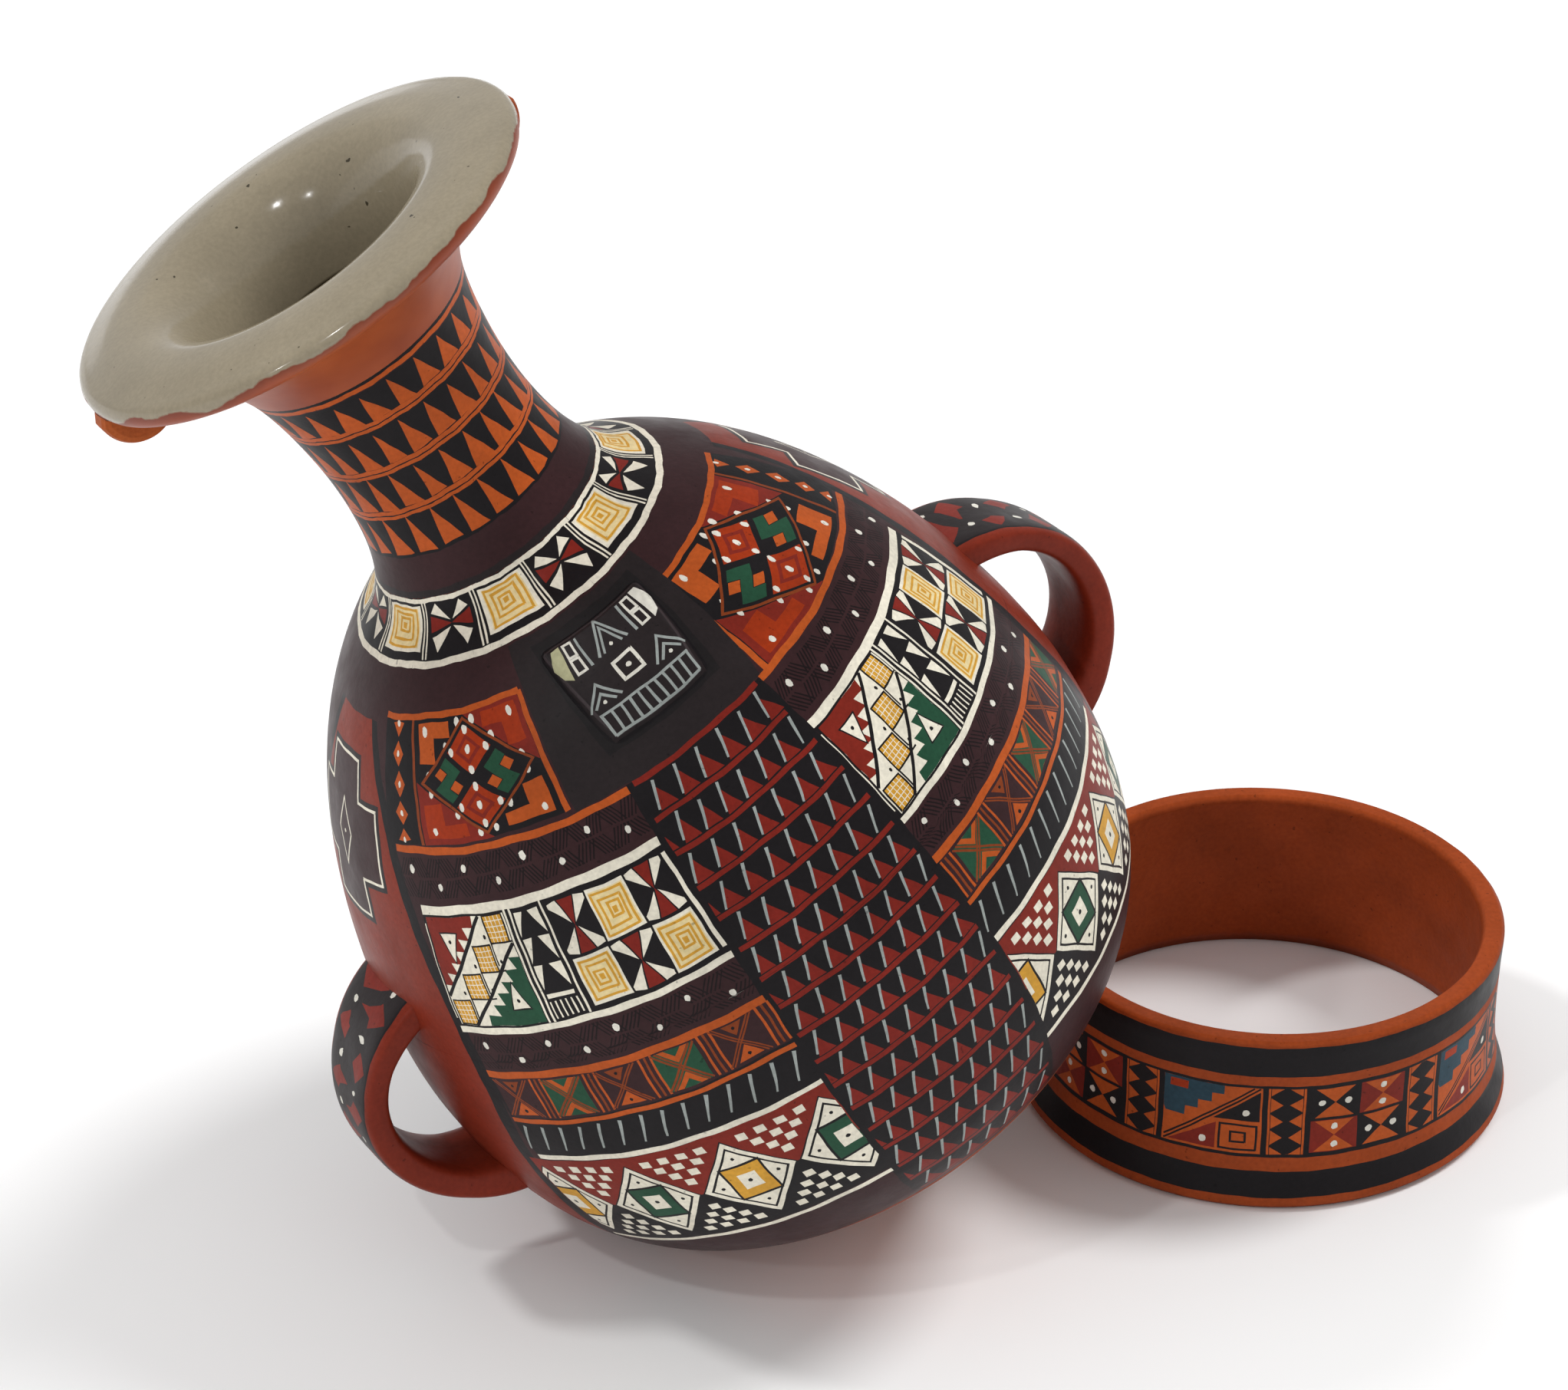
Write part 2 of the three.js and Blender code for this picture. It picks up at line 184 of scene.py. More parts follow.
class Profile:
    """A closed outline of (radius, height) turned about an axis, measured by its arc length."""

    # A full turn of azimuth, with its seam at the back.
    span = (-270, 90)

    def __init__(self, outside, rest, place, shear=None, below=0.0):
        points = np.array([*outside, *rest, outside[0]], float)
        self.points = points
        self.lengths = np.r_[0, np.cumsum(np.hypot(*np.diff(points, axis=0).T))]
        self.outer = self.lengths[len(outside) - 1]
        self.total = self.lengths[-1]
        self.heights = points[: len(outside), 1]
        self.place = place
        self.shear = shear
        self.below = below

    def at(self, degrees, length):
        """The outline's point at an arc length, turned by an azimuth and put in its place."""
        radius = np.interp(length, self.lengths, self.points[:, 0]) * FACET
        height = np.interp(length, self.lengths, self.points[:, 1])
        angle = np.radians(degrees)
        points = np.stack([radius * np.cos(angle), radius * np.sin(angle), height], -1)
        if self.shear:
            points = self.shear(points)
        return self.place(points)

    def length_at(self, height):
        """Arc length at a height of the outside; it runs on in a straight line past the ends."""
        height = np.asarray(height, float)
        past = height - np.clip(height, self.heights[0], self.heights[-1])
        return np.interp(height, self.heights, self.lengths[: len(self.heights)]) + past

    def per_degree(self, height):
        """Millimetres to a degree of azimuth at a height of the outside."""
        return np.interp(height, self.heights, self.points[: len(self.heights), 0]) * math.pi / 180


def section(low, high, wall, below=0.0):
    """The profile of a hollow section of the jar between two heights: the outer wall up, and the
    same less the wall's thickness down. Below is the arc length of the section under it, so that
    brush strokes drift alike on both sides of a seam."""
    heights = np.arange(low, high, 1.0)
    outside = [(wall_radius(h), h) for h in [*heights[heights < high - 0.4], high]]
    inside = [(wall_radius(h) - wall, h) for h in np.linspace(high, low, 24)]
    return Profile(outside, inside, on_jar, below=below)


class Painting:
    """Shapes of slip on a surface, as polygons in (degrees, arc length) with the last on top. They
    are given in (degrees, height)."""

    # Left free at both ends of the surface, and at both of its sides in degrees.
    end_gap, side_gap = 0.06, 0.1
    # The edge of a shape has corners this far apart at most and at least.
    most, least = 2.2, 0.12

    def __init__(self, profile, wobble=0.15):
        self.profile = profile
        self.wobble = wobble
        self.shapes = []

    def hand(self, x, y):
        """A slow drift of the brush: sums of sine waves over the surface, in millimetres."""
        dx = np.sin(0.23 * x + 0.11 * y + 1.0) + 0.7 * np.sin(0.61 * y - 0.34 * x + 2.1)
        dy = np.sin(0.19 * x - 0.27 * y + 0.4) + 0.7 * np.sin(0.53 * x + 0.41 * y + 3.0)
        return dx * self.wobble, dy * self.wobble

    def add(self, x, y, k, slip):
        """Adds a polygon given in millimetres round and along, with k millimetres to a degree,
        after it cuts its edge finer and wobbles it. What lies past the ends of the surface is
        left out, and on a full turn what reaches past the last side comes in at the first."""
        low, high = self.end_gap, self.profile.outer - self.end_gap
        if y.min() > high or y.max() < low:
            return
        x, y = np.append(x, x[0]), np.append(y, y[0])
        run = np.r_[0, np.cumsum(np.hypot(np.diff(x), np.diff(y)))]
        count = max(len(x) - 1, int(run[-1] / self.most))
        at = np.unique(np.r_[run[:-1], np.linspace(0, run[-1], count, endpoint=False)])
        at = at[np.r_[True, np.diff(at) > self.least]]
        x, y = np.interp(at, run, x), np.interp(at, run, y)
        dx, dy = self.hand(x / k * 1.5, y + self.profile.below)
        jitter = random.normal(0, self.wobble * 0.16, (2, len(x)))
        y = np.clip(y + dy + jitter[1], low, high)
        first, last = self.profile.span
        x = (x + dx + jitter[0]) / k
        for turn in (0, -360) if last - first == 360 else (0,):
            at = np.clip(x + turn, first + self.side_gap, last - self.side_gap)
            if np.ptp(at) > 0.05:
                self.shapes.append((np.stack([at, y], -1), slip))

    def fill(self, points, slip):
        """A polygon filled with slip."""
        points = np.asarray(points, float)
        k = float(np.mean(self.profile.per_degree(points[:, 1])))
        self.add(points[:, 0] * k, self.profile.length_at(points[:, 1]), k, slip)

    def line(self, points, width, slip, closed=False, taper=0.0):
        """A brush stroke along the points: a quad for each stretch, whose ends lie across the mean
        direction there and are widened at the bends."""
        points = np.asarray(points, float)
        if closed:
            points = np.concatenate([points, points[:2]])
        k = float(np.mean(self.profile.per_degree(points[:, 1])))
        x, y = points[:, 0] * k, self.profile.length_at(points[:, 1])
        way = np.stack([np.diff(x), np.diff(y)], -1)
        way /= np.maximum(np.hypot(*way.T), 1e-6)[:, None]
        side = np.stack([-way[:, 1], way[:, 0]], -1)
        mean = np.concatenate([side[:1], side[:-1] + side[1:], side[-1:]])
        mean /= np.maximum(np.hypot(*mean.T), 1e-6)[:, None]
        reach = np.r_[1, 1 / np.clip((mean[1:-1] * side[1:]).sum(-1), 0.5, 1), 1]
        size = width / 2 * reach * np.linspace(1, 1 - taper, len(x))
        left = np.stack([x, y], -1) + mean * size[:, None]
        right = np.stack([x, y], -1) - mean * size[:, None]
        for n in range(int(closed), len(x) - 1):
            quad = np.stack([left[n], left[n + 1], right[n + 1], right[n]])
            self.add(quad[:, 0], quad[:, 1], k, slip)

    def dot(self, point, radius, slip, squash=1.0):
        """A dab of slip: a ring of corners at uneven distances from the point."""
        corners = 9
        k = float(self.profile.per_degree(point[1]))
        turn = np.arange(corners) * math.tau / corners + random.uniform(0, 1)
        reach = radius * (1 + random.normal(0, 0.08, corners))
        x = point[0] * k + reach * np.cos(turn) * squash
        y = self.profile.length_at(point[1] + reach * np.sin(turn))
        self.add(x, y, k, slip)


def box(left, low, right, high):
    """The corners of a rectangle, round from its first one."""
    return [(left, low), (right, low), (right, high), (left, high)]


def unit(margin=0):
    """The corners of the unit square, moved in by a margin."""
    return box(margin, margin, 1 - margin, 1 - margin)


def cell(left, right, low, high):
    """Turns points of the unit square into (degrees, height) of a painted cell."""

    def place(*points):
        return [(left + (right - left) * u, low + (high - low) * v) for u, v in points]

    return place


# Azimuths all the way round, a little past both sides of the surface.
AROUND = np.arange(-272, 92.1, 6.5)


def level(height):
    """Points all the way round at one height."""
    return [(a, height) for a in AROUND]


def band(p, low, high, slip):
    """A band of slip all the way round, between two heights."""
    p.fill(level(low) + level(high)[::-1], slip)


def make_mesh(name, points, faces, normals, colours, edge=None):
    """An object of triangles with smooth normals, a slip for each triangle and, where it is
    given, a distance from the glaze's edge for each corner."""
    mesh = bpy.data.meshes.new(name)
    mesh.from_pydata((points / 1000).tolist(), [], faces.tolist())
    mesh.polygons.foreach_set("use_smooth", np.ones(len(faces), bool))
    layer = mesh.color_attributes.new("slip", "FLOAT_COLOR", "CORNER")
    layer.data.foreach_set("color", np.repeat(colours, 3, axis=0).ravel())
    if edge is not None:
        layer = mesh.attributes.new("edge", "FLOAT", "POINT")
        layer.data.foreach_set("value", edge)
    mesh.normals_split_custom_set_from_vertices(normals.tolist())
    piece = bpy.data.objects.new(name, mesh)
    bpy.context.scene.collection.objects.link(piece)
    return piece


def within(outline, spots):
    """Even-odd rule: a spot is inside where a ray from it crosses the outline oddly often."""
    x, y = outline.T
    next_x, next_y = np.roll(x, -1), np.roll(y, -1)
    rise = np.where(next_y == y, 1.0, next_y - y)
    crossed = (y > spots[:, 1:]) != (next_y > spots[:, 1:])
    ahead = spots[:, :1] < x + (spots[:, 1:] - y) * (next_x - x) / rise
    return (crossed & ahead).sum(axis=1) % 2 == 1


def skin(name, at, columns, rows, shapes, ground, split, edge=None):
    """A closed surface given by at(x, y) over a rectangle whose opposite sides meet, or are drawn
    together to a point.

    The rectangle is cut along the painted shapes by a constrained triangulation, each triangle
    takes the slip of the last shape that holds it, and its corners are placed by at(x, y).
    The normal is the cross product of the two small steps round and along, and a step along
    stays on its own side of each split, so an edge there stays crisp.
    """
    # A degree is wider than a millimetre over most of the jar, so x counts for more.
    stretch = 1.35
    grid_x, grid_y = np.meshgrid(columns, rows)
    flat = [np.stack([grid_x.ravel(), grid_y.ravel()], -1)] + [points for points, _ in shapes]
    starts = np.cumsum([len(points) for points in flat])
    polygons = [list(range(a, b)) for a, b in zip(starts, starts[1:])]
    flat = [Vector(p) for p in (np.concatenate(flat) * [stretch, 1]).tolist()]
    corners, _, faces, *_ = delaunay_2d_cdt(flat, [], polygons, 0, 1e-3, False)
    corners = np.array([tuple(c) for c in corners]) / [stretch, 1]
    faces = np.array([(f[0], f[k], f[k + 1]) for f in faces for k in range(1, len(f) - 1)])
    middle = corners[faces].mean(axis=1)
    colours = np.array([SLIP_COLOURS[ground(*spot)] for spot in middle])
    # Shapes end just short of the sides and splits, and what is left there takes their slip.
    spots = middle.copy()
    spots[:, 0] = np.clip(middle[:, 0], columns[0] + 0.15, columns[-1] - 0.15)
    y = middle[:, 1]
    spots[:, 1] = np.where(y < split[1], np.clip(y, split[0] + 0.1, split[1] - 0.1), y)
    for points, slip in shapes:
        low, high = points.min(axis=0), points.max(axis=0)
        near = np.flatnonzero(((spots > low) & (spots < high)).all(axis=1))
        colours[near[within(points, spots[near])]] = SLIP_COLOURS[slip]
    # Corners on opposite sides are placed by the same numbers where the sides meet.
    x, y = corners.T
    y_there = np.where(y > rows[-1] - 1e-4, rows[0], y)
    x_there = np.where(x > columns[-1] - 1e-4, columns[0], x) if np.ptp(columns) == 360 else x
    points = at(x_there, y_there)
    step = 0.08
    bounds = np.array(split)
    part = np.clip(np.searchsorted(bounds, y, side="left"), 1, len(bounds) - 1)
    low, high = bounds[part - 1], bounds[part]
    round_step = at(x + step, y) - at(x - step, y)
    long_step = at(x, np.minimum(y + step, high)) - at(x, np.maximum(y - step, low))
    normals = np.cross(round_step, long_step)
    normals /= np.maximum(np.linalg.norm(normals, axis=1), 1e-9)[:, None]
    _, first, same = np.unique(points.round(3), axis=0, return_index=True, return_inverse=True)
    faces = same.reshape(-1)[faces]
    a, b, c = faces.T
    real = (a != b) & (b != c) & (c != a)
    past_edge = edge(y)[first] if edge else None
    return make_mesh(name, points[first], faces[real], normals[first], colours[real], past_edge)


def turned_skin(name, profile, shapes, ground, across=3.0, along=3.0, edge=None):
    """The skin of a turned profile, with a column every so many degrees and a row every so many
    millimetres. The inside has coarser rows, and one at each of its corners."""
    columns = np.linspace(*profile.span, int(360 / across) + 1)
    outer = np.linspace(0, profile.outer, max(int(profile.outer / along), 2) + 1)
    rest = np.linspace(profile.outer, profile.total, max(int(profile.outer / 6), 8))[1:]
    corners = profile.lengths[len(profile.heights) :]
    rest = np.unique(np.r_[rest, corners[:1], corners[:1] + 0.3, corners[-2:]].round(6))
    rows = np.r_[outer, rest[rest > profile.outer + 0.2]]
    split = [0, profile.outer, profile.total]
    return skin(name, profile.at, columns, rows, shapes, ground, split, edge)


# Motifs. Each takes a painting, and a cell or the sides of one, and paints inside that.
def ochre_square(p, m, inset=0.0):
    """Concentric ochre squares on a cream square with a straw wash."""
    p.fill(m(*box(inset, 0.04, 1 - inset, 0.96)), "cream")
    p.fill(m(*box(0.08, 0.1, 0.92, 0.9)), "straw")
    for size in (0.37, 0.25, 0.13):
        shift = random.uniform(-0.02, 0.02)
        a, b = 0.5 - size + shift, 0.5 + size + shift
        p.line(m(*box(a, a, b, b)), 0.62, "ochre", closed=True)
    p.fill(m((0.45, 0.44), (0.55, 0.44), (0.56, 0.56), (0.44, 0.56)), "ochre")


def pinwheel(p, m):
    """Black cell with maroon wedges above and below, each between two cream blades."""
    p.fill(m(*unit()), "black")
    for t in (-1, 1):
        edge = 0.5 + t * 0.48
        p.fill(m((0.5, 0.5), (0.3, edge), (0.7, edge)), "maroon")
        for s in (-1, 1):
            p.fill(m(
                (0.5 + s * 0.05, 0.5 + t * 0.04),
                (0.5 + s * 0.24, edge),
                (0.5 + s * 0.48, 0.5 + t * 0.44),
                (0.5 + s * 0.48, 0.5 + t * 0.36),
            ), "cream")


def wide_pinwheel(p, m):
    """Pinwheel of the shoulder ring: maroon wings at the sides."""
    p.fill(m(*unit()), "black")
    for s in (-1, 1):
        p.fill(m((0.5, 0.5), (0.5 + s * 0.46, 0.34), (0.5 + s * 0.46, 0.68)), "maroon")
        for t in (-1, 1):
            p.fill(m(
                (0.5 + s * 0.03, 0.5 + t * 0.07),
                (0.5 + s * 0.44, 0.5 + t * 0.24),
                (0.5 + s * 0.3, 0.5 + t * 0.47),
            ), "cream")


def hatched(p, left, right, low, high):
    """Hatching on the purple ground: two rows of blocks of five fine strokes, leaning left and
    right in turns, under two staggered rows of white dots."""
    half = (high - low) / 2
    blocks = int((right - left) / 3.4)
    pitch = (right - left) / blocks
    for n in range(blocks):
        for row in range(2):
            foot = low + row * half
            lean = 0.9 if (n + row) % 2 else -0.9
            for k in range(5):
                a = left + n * pitch + 0.45 + k * pitch * 0.2
                p.line([(a - lean, foot + 0.3), (a + lean, foot + half - 0.3)], 0.36, "hatch")
    dots = 8
    for n in range(dots):
        a = left + (right - left) * (n + 0.45) / dots
        h = low + (high - low) * (0.3 if n % 2 else 0.7)
        p.dot((a, h), random.uniform(0.8, 1.05), "white", 0.85)


def step_square(p, m, turn):
    """Green step between two orange blocks, on black, in one quarter of the tilted square."""
    p.fill(m(*unit()), "black")
    step = [(0.02, 0.98), (0.02, 0.66), (0.34, 0.66), (0.34, 0.02), (0.98, 0.02), (0.98, 0.34),
            (0.66, 0.34), (0.66, 0.98)]
    near, far = box(0.04, 0.34, 0.32, 0.64), box(0.68, 0.36, 0.96, 0.66)
    for shape, slip in ((step, "green"), (near, "orange"), (far, "orange")):
        p.fill(m(*[(u, v) if turn else (v, u) for u, v in shape]), slip)


def jewel(p, m):
    """Flame-red quarter with a darker ring and white dots."""
    for margin, slip in ((0, "flame"), (0.2, "red"), (0.3, "flame")):
        p.fill(m(*unit(margin)), slip)
    for u, v in ((0.5, 0.5), (0.1, 0.1), (0.9, 0.1), (0.1, 0.9), (0.9, 0.9)):
        p.dot(m((u, v))[0], 0.85, "white", 0.85)


def framed_panel(p, left, right, low, high, strip_left):
    """Framed panel of the shoulder: a tilted square with frets in its corners, and a strip of
    small diamonds along its outer side."""
    strip_wide = 10.5
    outer, front = (left, right) if strip_left else (right, left)
    edge = outer + strip_wide if strip_left else outer - strip_wide
    p.fill(box(left, low, right, high), "black")
    m = cell(*sorted((edge, front)), low, high)
    p.fill(m((0.47, 1), (0.98, 1), (0.98, 0.47)), "red")
    p.fill(m((0.02, 0), (0.02, 0.53), (0.53, 0)), "red")
    # An L-shaped fret for each corner, drawn for the corner at the origin and mirrored.
    fret = [(0.06, 0.05), (0.36, 0.05), (0.36, 0.16), (0.2, 0.16), (0.2, 0.34), (0.06, 0.34)]
    for u, v in ((0, 0), (1, 0), (0, 1), (1, 1)):
        p.fill(m(*[(abs(u - a), abs(v - b)) for a, b in fret]), "flame" if u == v else "orange")
        for a, b in ((0.12, 0.11), (0.31, 0.23), (0.13, 0.43), (0.44, 0.07)):
            p.dot(m((abs(u - a), abs(v - b)))[0], 0.85, "white", 0.85)
    corners = [(0.07, 0.52), (0.49, 0.05), (0.93, 0.5), (0.49, 0.95)]
    p.fill(m(*corners), "black")

    def tilted(u0, v0, size):
        """A cell of the tilted square, whose sides run along its corners."""
        a, b, d = (np.array(corners[k]) for k in (0, 1, 3))
        across, up = b - a, d - a

        def place(*points):
            at = [a + across * (u0 + u * size) + up * (v0 + v * size) for u, v in points]
            return m(*[tuple(q) for q in at])

        return place

    jewel(p, tilted(0.53, 0.05, 0.42))
    jewel(p, tilted(0.05, 0.53, 0.42))
    step_square(p, tilted(0.05, 0.05, 0.42), True)
    step_square(p, tilted(0.53, 0.53, 0.42), False)
    p.line(m(*corners), 0.7, "rust", closed=True)
    middle = (outer + edge) / 2
    half, tall = 1.9, 2.3
    for n in range(5):
        h = low + (high - low) * (0.04 + 0.23 * n)
        p.fill([(middle - half, h), (middle, max(h - tall, low + 0.6)), (middle + half, h),
                (middle, min(h + tall, high - 0.6))], "orange")
        p.dot((middle, h), 0.6, "white", 0.8)
    p.line([(edge, low), (edge, high)], 0.8, "rust")
    p.line([(front, low), (front, high)], 1.3, "orange")
    p.line([(left, high), (right, high)], 1.5, "orange")


def serrated(p, m, top):
    """Serrated corner of the wide band, red above or green below, with a dotted triangle."""
    teeth = 6
    edge = [(0.62, 1.0)]
    for n in range(teeth):
        u, v = 0.6 - 0.58 * n / teeth, 1 - 0.62 * n / teeth
        edge += [(u, v - 0.1), (u - 0.14, v - 0.09)]
    shape = [(0, 1), *edge, (0, 0.4)]
    first, last, apex = (0.13, 0.36, 0.24) if top else (0.1, 0.3, 0.2)

    def flip(*points):
        """The upper corner's points, turned by half a turn for the lower corner."""
        return m(*[(u, v) if top else (1 - u, 1 - v) for u, v in points])

    triangle = flip((first, 0.86), (last, 0.86), (apex, 0.6))
    p.fill(flip(*shape), "red" if top else "green")
    p.fill(triangle, "cream")
    p.line(triangle, 0.4, "black", closed=True)
    p.dot(flip((apex, 0.78))[0], 0.5, "black")


def diagonal_cell(p, left, right, low, high):
    """Cream cell with serrated corners and a diagonal chain of hatched yellow squares, between
    two black lines, with a dot in each small triangle beside the chain."""
    m = cell(left, right, low, high)
    p.fill(m(*unit()), "cream")
    serrated(p, m, True)
    serrated(p, m, False)
    p.fill(m((0.0, 0.0), (0.2, 0.0), (1, 0.75), (1, 1), (0.72, 1), (0.0, 0.28)), "cream")
    for n in range(4):
        u, v = 0.02 + 0.245 * n, 0.01 + 0.25 * n
        square = m(*box(u, v, u + 0.22, v + 0.24))
        p.fill(square, "ochre")
        a, b, c, d = (np.array(q) for q in square)
        for share in (0.2, 0.4, 0.6, 0.8):
            p.line([a + (b - a) * share, d + (c - d) * share], 0.2, "cream")
            p.line([a + (d - a) * share, b + (c - b) * share], 0.2, "cream")
        p.line(square, 0.45, "black", closed=True)
        if n:
            p.line(m((u - 0.01, v), (u + 0.3, v)), 0.45, "black")
            p.line(m((u, v - 0.2), (u, v + 0.02)), 0.45, "black")
            p.dot(m((u + 0.29, v + 0.08))[0], 0.5, "black", 0.8)
            p.dot(m((u - 0.05, v + 0.06))[0], 0.5, "black", 0.8)
    p.line(m((0.0, 0.29), (0.71, 1.0)), 0.95, "black")
    p.line(m((0.21, 0.0), (1.0, 0.74)), 0.95, "black")


def tree_column(p, left, right, low, high):
    """Three black triangles, one on the other, between cream slivers, over a comb of stripes."""
    m = cell(left, right, low, high)
    p.fill(m(*unit()), "black")
    for n in range(3):
        base, top = 0.28 + 0.24 * n, 0.5 + 0.24 * n
        p.fill(m((0.04, top), (0.34, top), (0.04, base)), "cream")
        p.fill(m((0.56, top), (0.96, top), (0.96, base)), "cream")
    p.fill(m(*box(0.04, 0.2, 0.96, 0.24)), "cream")
    for n in range(6):
        u = 0.06 + 0.176 * n
        p.line(m((u, 0.01), (u, 0.17)), 0.42, "cream")


def wide_band(p, left, right, low, high):
    """The cream-bordered band: diagonal cell, tree column and a checker of two motifs."""
    p.fill(box(left, low, right, high), "black")
    span = (right - left) / 50.5
    a, b, c = left + 18.8 * span, left + 20.2 * span, left + 25.6 * span
    diagonal_cell(p, left + 0.7, a - 0.4, low + 1.4, high - 1.6)
    tree_column(p, b, c, low + 1.4, high - 1.6)
    start, end = c + 1.5, right - 1.5
    wide = (end - start) / 3
    half = (high - low - 3.6) / 2
    for n in range(3):
        for row in range(2):
            m = cell(start + n * wide, start + (n + 1) * wide,
                     low + 1.7 + row * half, low + 1.7 + (row + 1) * half)
            if (n + row) % 2:
                pinwheel(p, m)
            else:
                ochre_square(p, m, 0.03)
    for x in (a, a + 1.0, c + 0.6):
        p.line([(x, low + 1), (x, high - 1)], 0.55, "cream")
    p.line([(right - 0.6, low + 2.4), (right - 0.6, high - 2.6)], 1.3, "cream")
    p.line([(left, high), (right, high)], 2.3, "cream")
    p.line([(left, low), (right, low)], 1.7, "cream")
    p.line([(left + 0.2, low + 3), (left + 0.2, high - 3)], 0.3, "cream")


def crossed_cells(p, left, right, low, high, bars_first):
    """Cells with crossed lines and green crosses in turn, with triple bars after each cell, or
    before it where the bars come first."""
    p.fill(box(left, low, right, high), "purple")
    count = 5
    wide = (right - left) / count
    for n in range(count):
        a = left + (n + 0.27 * bars_first) * wide
        m = cell(a, a + 0.73 * wide, low + 0.6, high - 0.6)
        if (n + bars_first) % 2:
            p.fill(m(*unit(0.02)), "green")
            for side, apex, small_apex in ((0.98, 0.62, 0.78), (0.02, 0.38, 0.22)):
                p.fill(m((0.15, side), (0.5, apex), (0.85, side)), "orange")
                p.fill(m((0.3, side), (0.5, small_apex), (0.7, side)), "green")
            for shift in (-0.05, 0.05):
                p.line(m((0.04 + shift, 0.02), (0.94 + shift, 0.98)), 0.5, "rust")
                p.line(m((0.94 + shift, 0.02), (0.04 + shift, 0.98)), 0.5, "rust")
        else:
            p.fill(m((0.2, 0.03), (0.5, 0.38), (0.8, 0.03)), "orange")
            p.fill(m((0.26, 0.97), (0.5, 0.67), (0.74, 0.97)), "rust")
            for shift in (-0.04, 0.04):
                p.line(m((0.02 + shift, 0), (0.94 + shift, 1)), 0.4, "rust")
                p.line(m((0.94 + shift, 0), (0.02 + shift, 1)), 0.4, "rust")
            p.dot(m((0.5, 0.14))[0], 0.5, "black")
            p.dot(m((0.5, 0.86))[0], 0.45, "black")
        for k in range(3):
            x = left + (n + (0.01 if bars_first else 0.8) + 0.1 * k) * wide
            p.line([(x, low + 0.4), (x, high - 0.4)], 0.62, "orange" if k != 1 else "rust")


def clipped(points, left, right):
    """The part of an outline that lies between two azimuths."""
    for limit, side in ((left, 1), (right, -1)):
        kept = []
        for a, b in zip(points, points[1:] + points[:1]):
            if side * (a[0] - limit) >= 0:
                kept.append(a)
            if (a[0] - limit) * (b[0] - limit) < 0:
                share = (limit - a[0]) / (b[0] - a[0])
                kept.append((limit, a[1] + share * (b[1] - a[1])))
        points = kept
    return points


def diamond_band(p, left, right, low, high, lead):
    """Chain of cream-framed diamonds between red above and black below, with a checker of small
    cream squares in the gaps. The lead is the azimuth from the left side to the first diamond."""
    middle = (low + high) / 2
    p.fill(box(left, low, right, middle), "black")
    p.fill(box(left, middle, right, high), "red")
    count, pitch, half, tall = 5, 16.3, 7.7, (high - low) / 2 - 3.2

    def inside(points, slip):
        """Fills the part of a shape that lies inside the band."""
        points = clipped(points, left + 0.2, right - 0.2)
        if len(points) > 2:
            p.fill(points, slip)

    def seen(a):
        """Whether an azimuth lies inside the band."""
        return left + 0.4 < a < right - 0.4

    def block(a, h):
        """A small cream square with uneven corners."""
        if seen(a - 0.8) and seen(a + 0.8):
            p.fill([(a - 0.8, h - 0.9), (a + 0.8, h - 1.1), (a + 0.8, h + 1.0), (a - 0.8, h + 1.2)],
                   "cream")

    rows, column_pitch, row_pitch = 4, 3.1, 2.9
    for n in range(count):
        gap = left + lead + n * pitch + pitch / 2
        for row in range(rows):
            for k in range(rows - row):
                a = gap + (k - (rows - 1 - row) / 2) * column_pitch
                block(a, high - 3.4 - row * row_pitch)
                block(a, low + 3.2 + row * row_pitch)
    for n in range(count):
        x = left + lead + n * pitch
        if not (seen(x - half + 1) or seen(x + half - 1)):
            continue
        for size, slip in ((1.04, "black"), (1.0, "cream"), (0.87, "black"), (0.81, "cream")):
            u, v = half * size, tall * size
            inside([(x, middle - v), (x + u, middle), (x, middle + v), (x - u, middle)], slip)
        jewel_slip = "green" if n % 2 else "ochre"
        for size, slip in ((0.45, "black"), (0.4, jewel_slip), (0.2, "cream")):
            u, v = half * size, tall * size
            inside(box(x - u, middle - v, x + u, middle + v), slip)
        if seen(x):
            p.dot((x, middle), 0.62, "black")
            for s in (-1, 1):
                p.dot((x, middle + s * tall * 0.6), 0.5, "black")
                if seen(x + s * half * 0.62):
                    p.dot((x + s * half * 0.62, middle), 0.5, "black")


# Half the width of the painted front, in degrees from its middle, at heights of the jar.
EDGE_HEIGHTS = [40, 55, 85, 113, 136, 160, 177.5, 192, 200]
EDGE_DEGREES = [73, 72.5, 70.5, 68.3, 68.6, 71.8, 74.6, 79.3, 83]


def half_width(height):
    """Half the width of the painted front at a height, on straight lines between the table's
    rows."""
    return np.interp(height, EDGE_HEIGHTS, EDGE_DEGREES)


def flank(p, middle, low, high):
    """Red flank with black edges about one handle: it takes what the painted front leaves."""
    heights = np.arange(low, high, 4.0)
    reach = 90 - half_width(heights)
    for shift, slip in ((2.6, "black"), (0, "flank")):
        left = [(middle - r - shift, h) for r, h in zip(reach, heights)]
        right = [(middle + r + shift, h) for r, h in zip(reach, heights)]
        p.fill(left + right[::-1], slip)


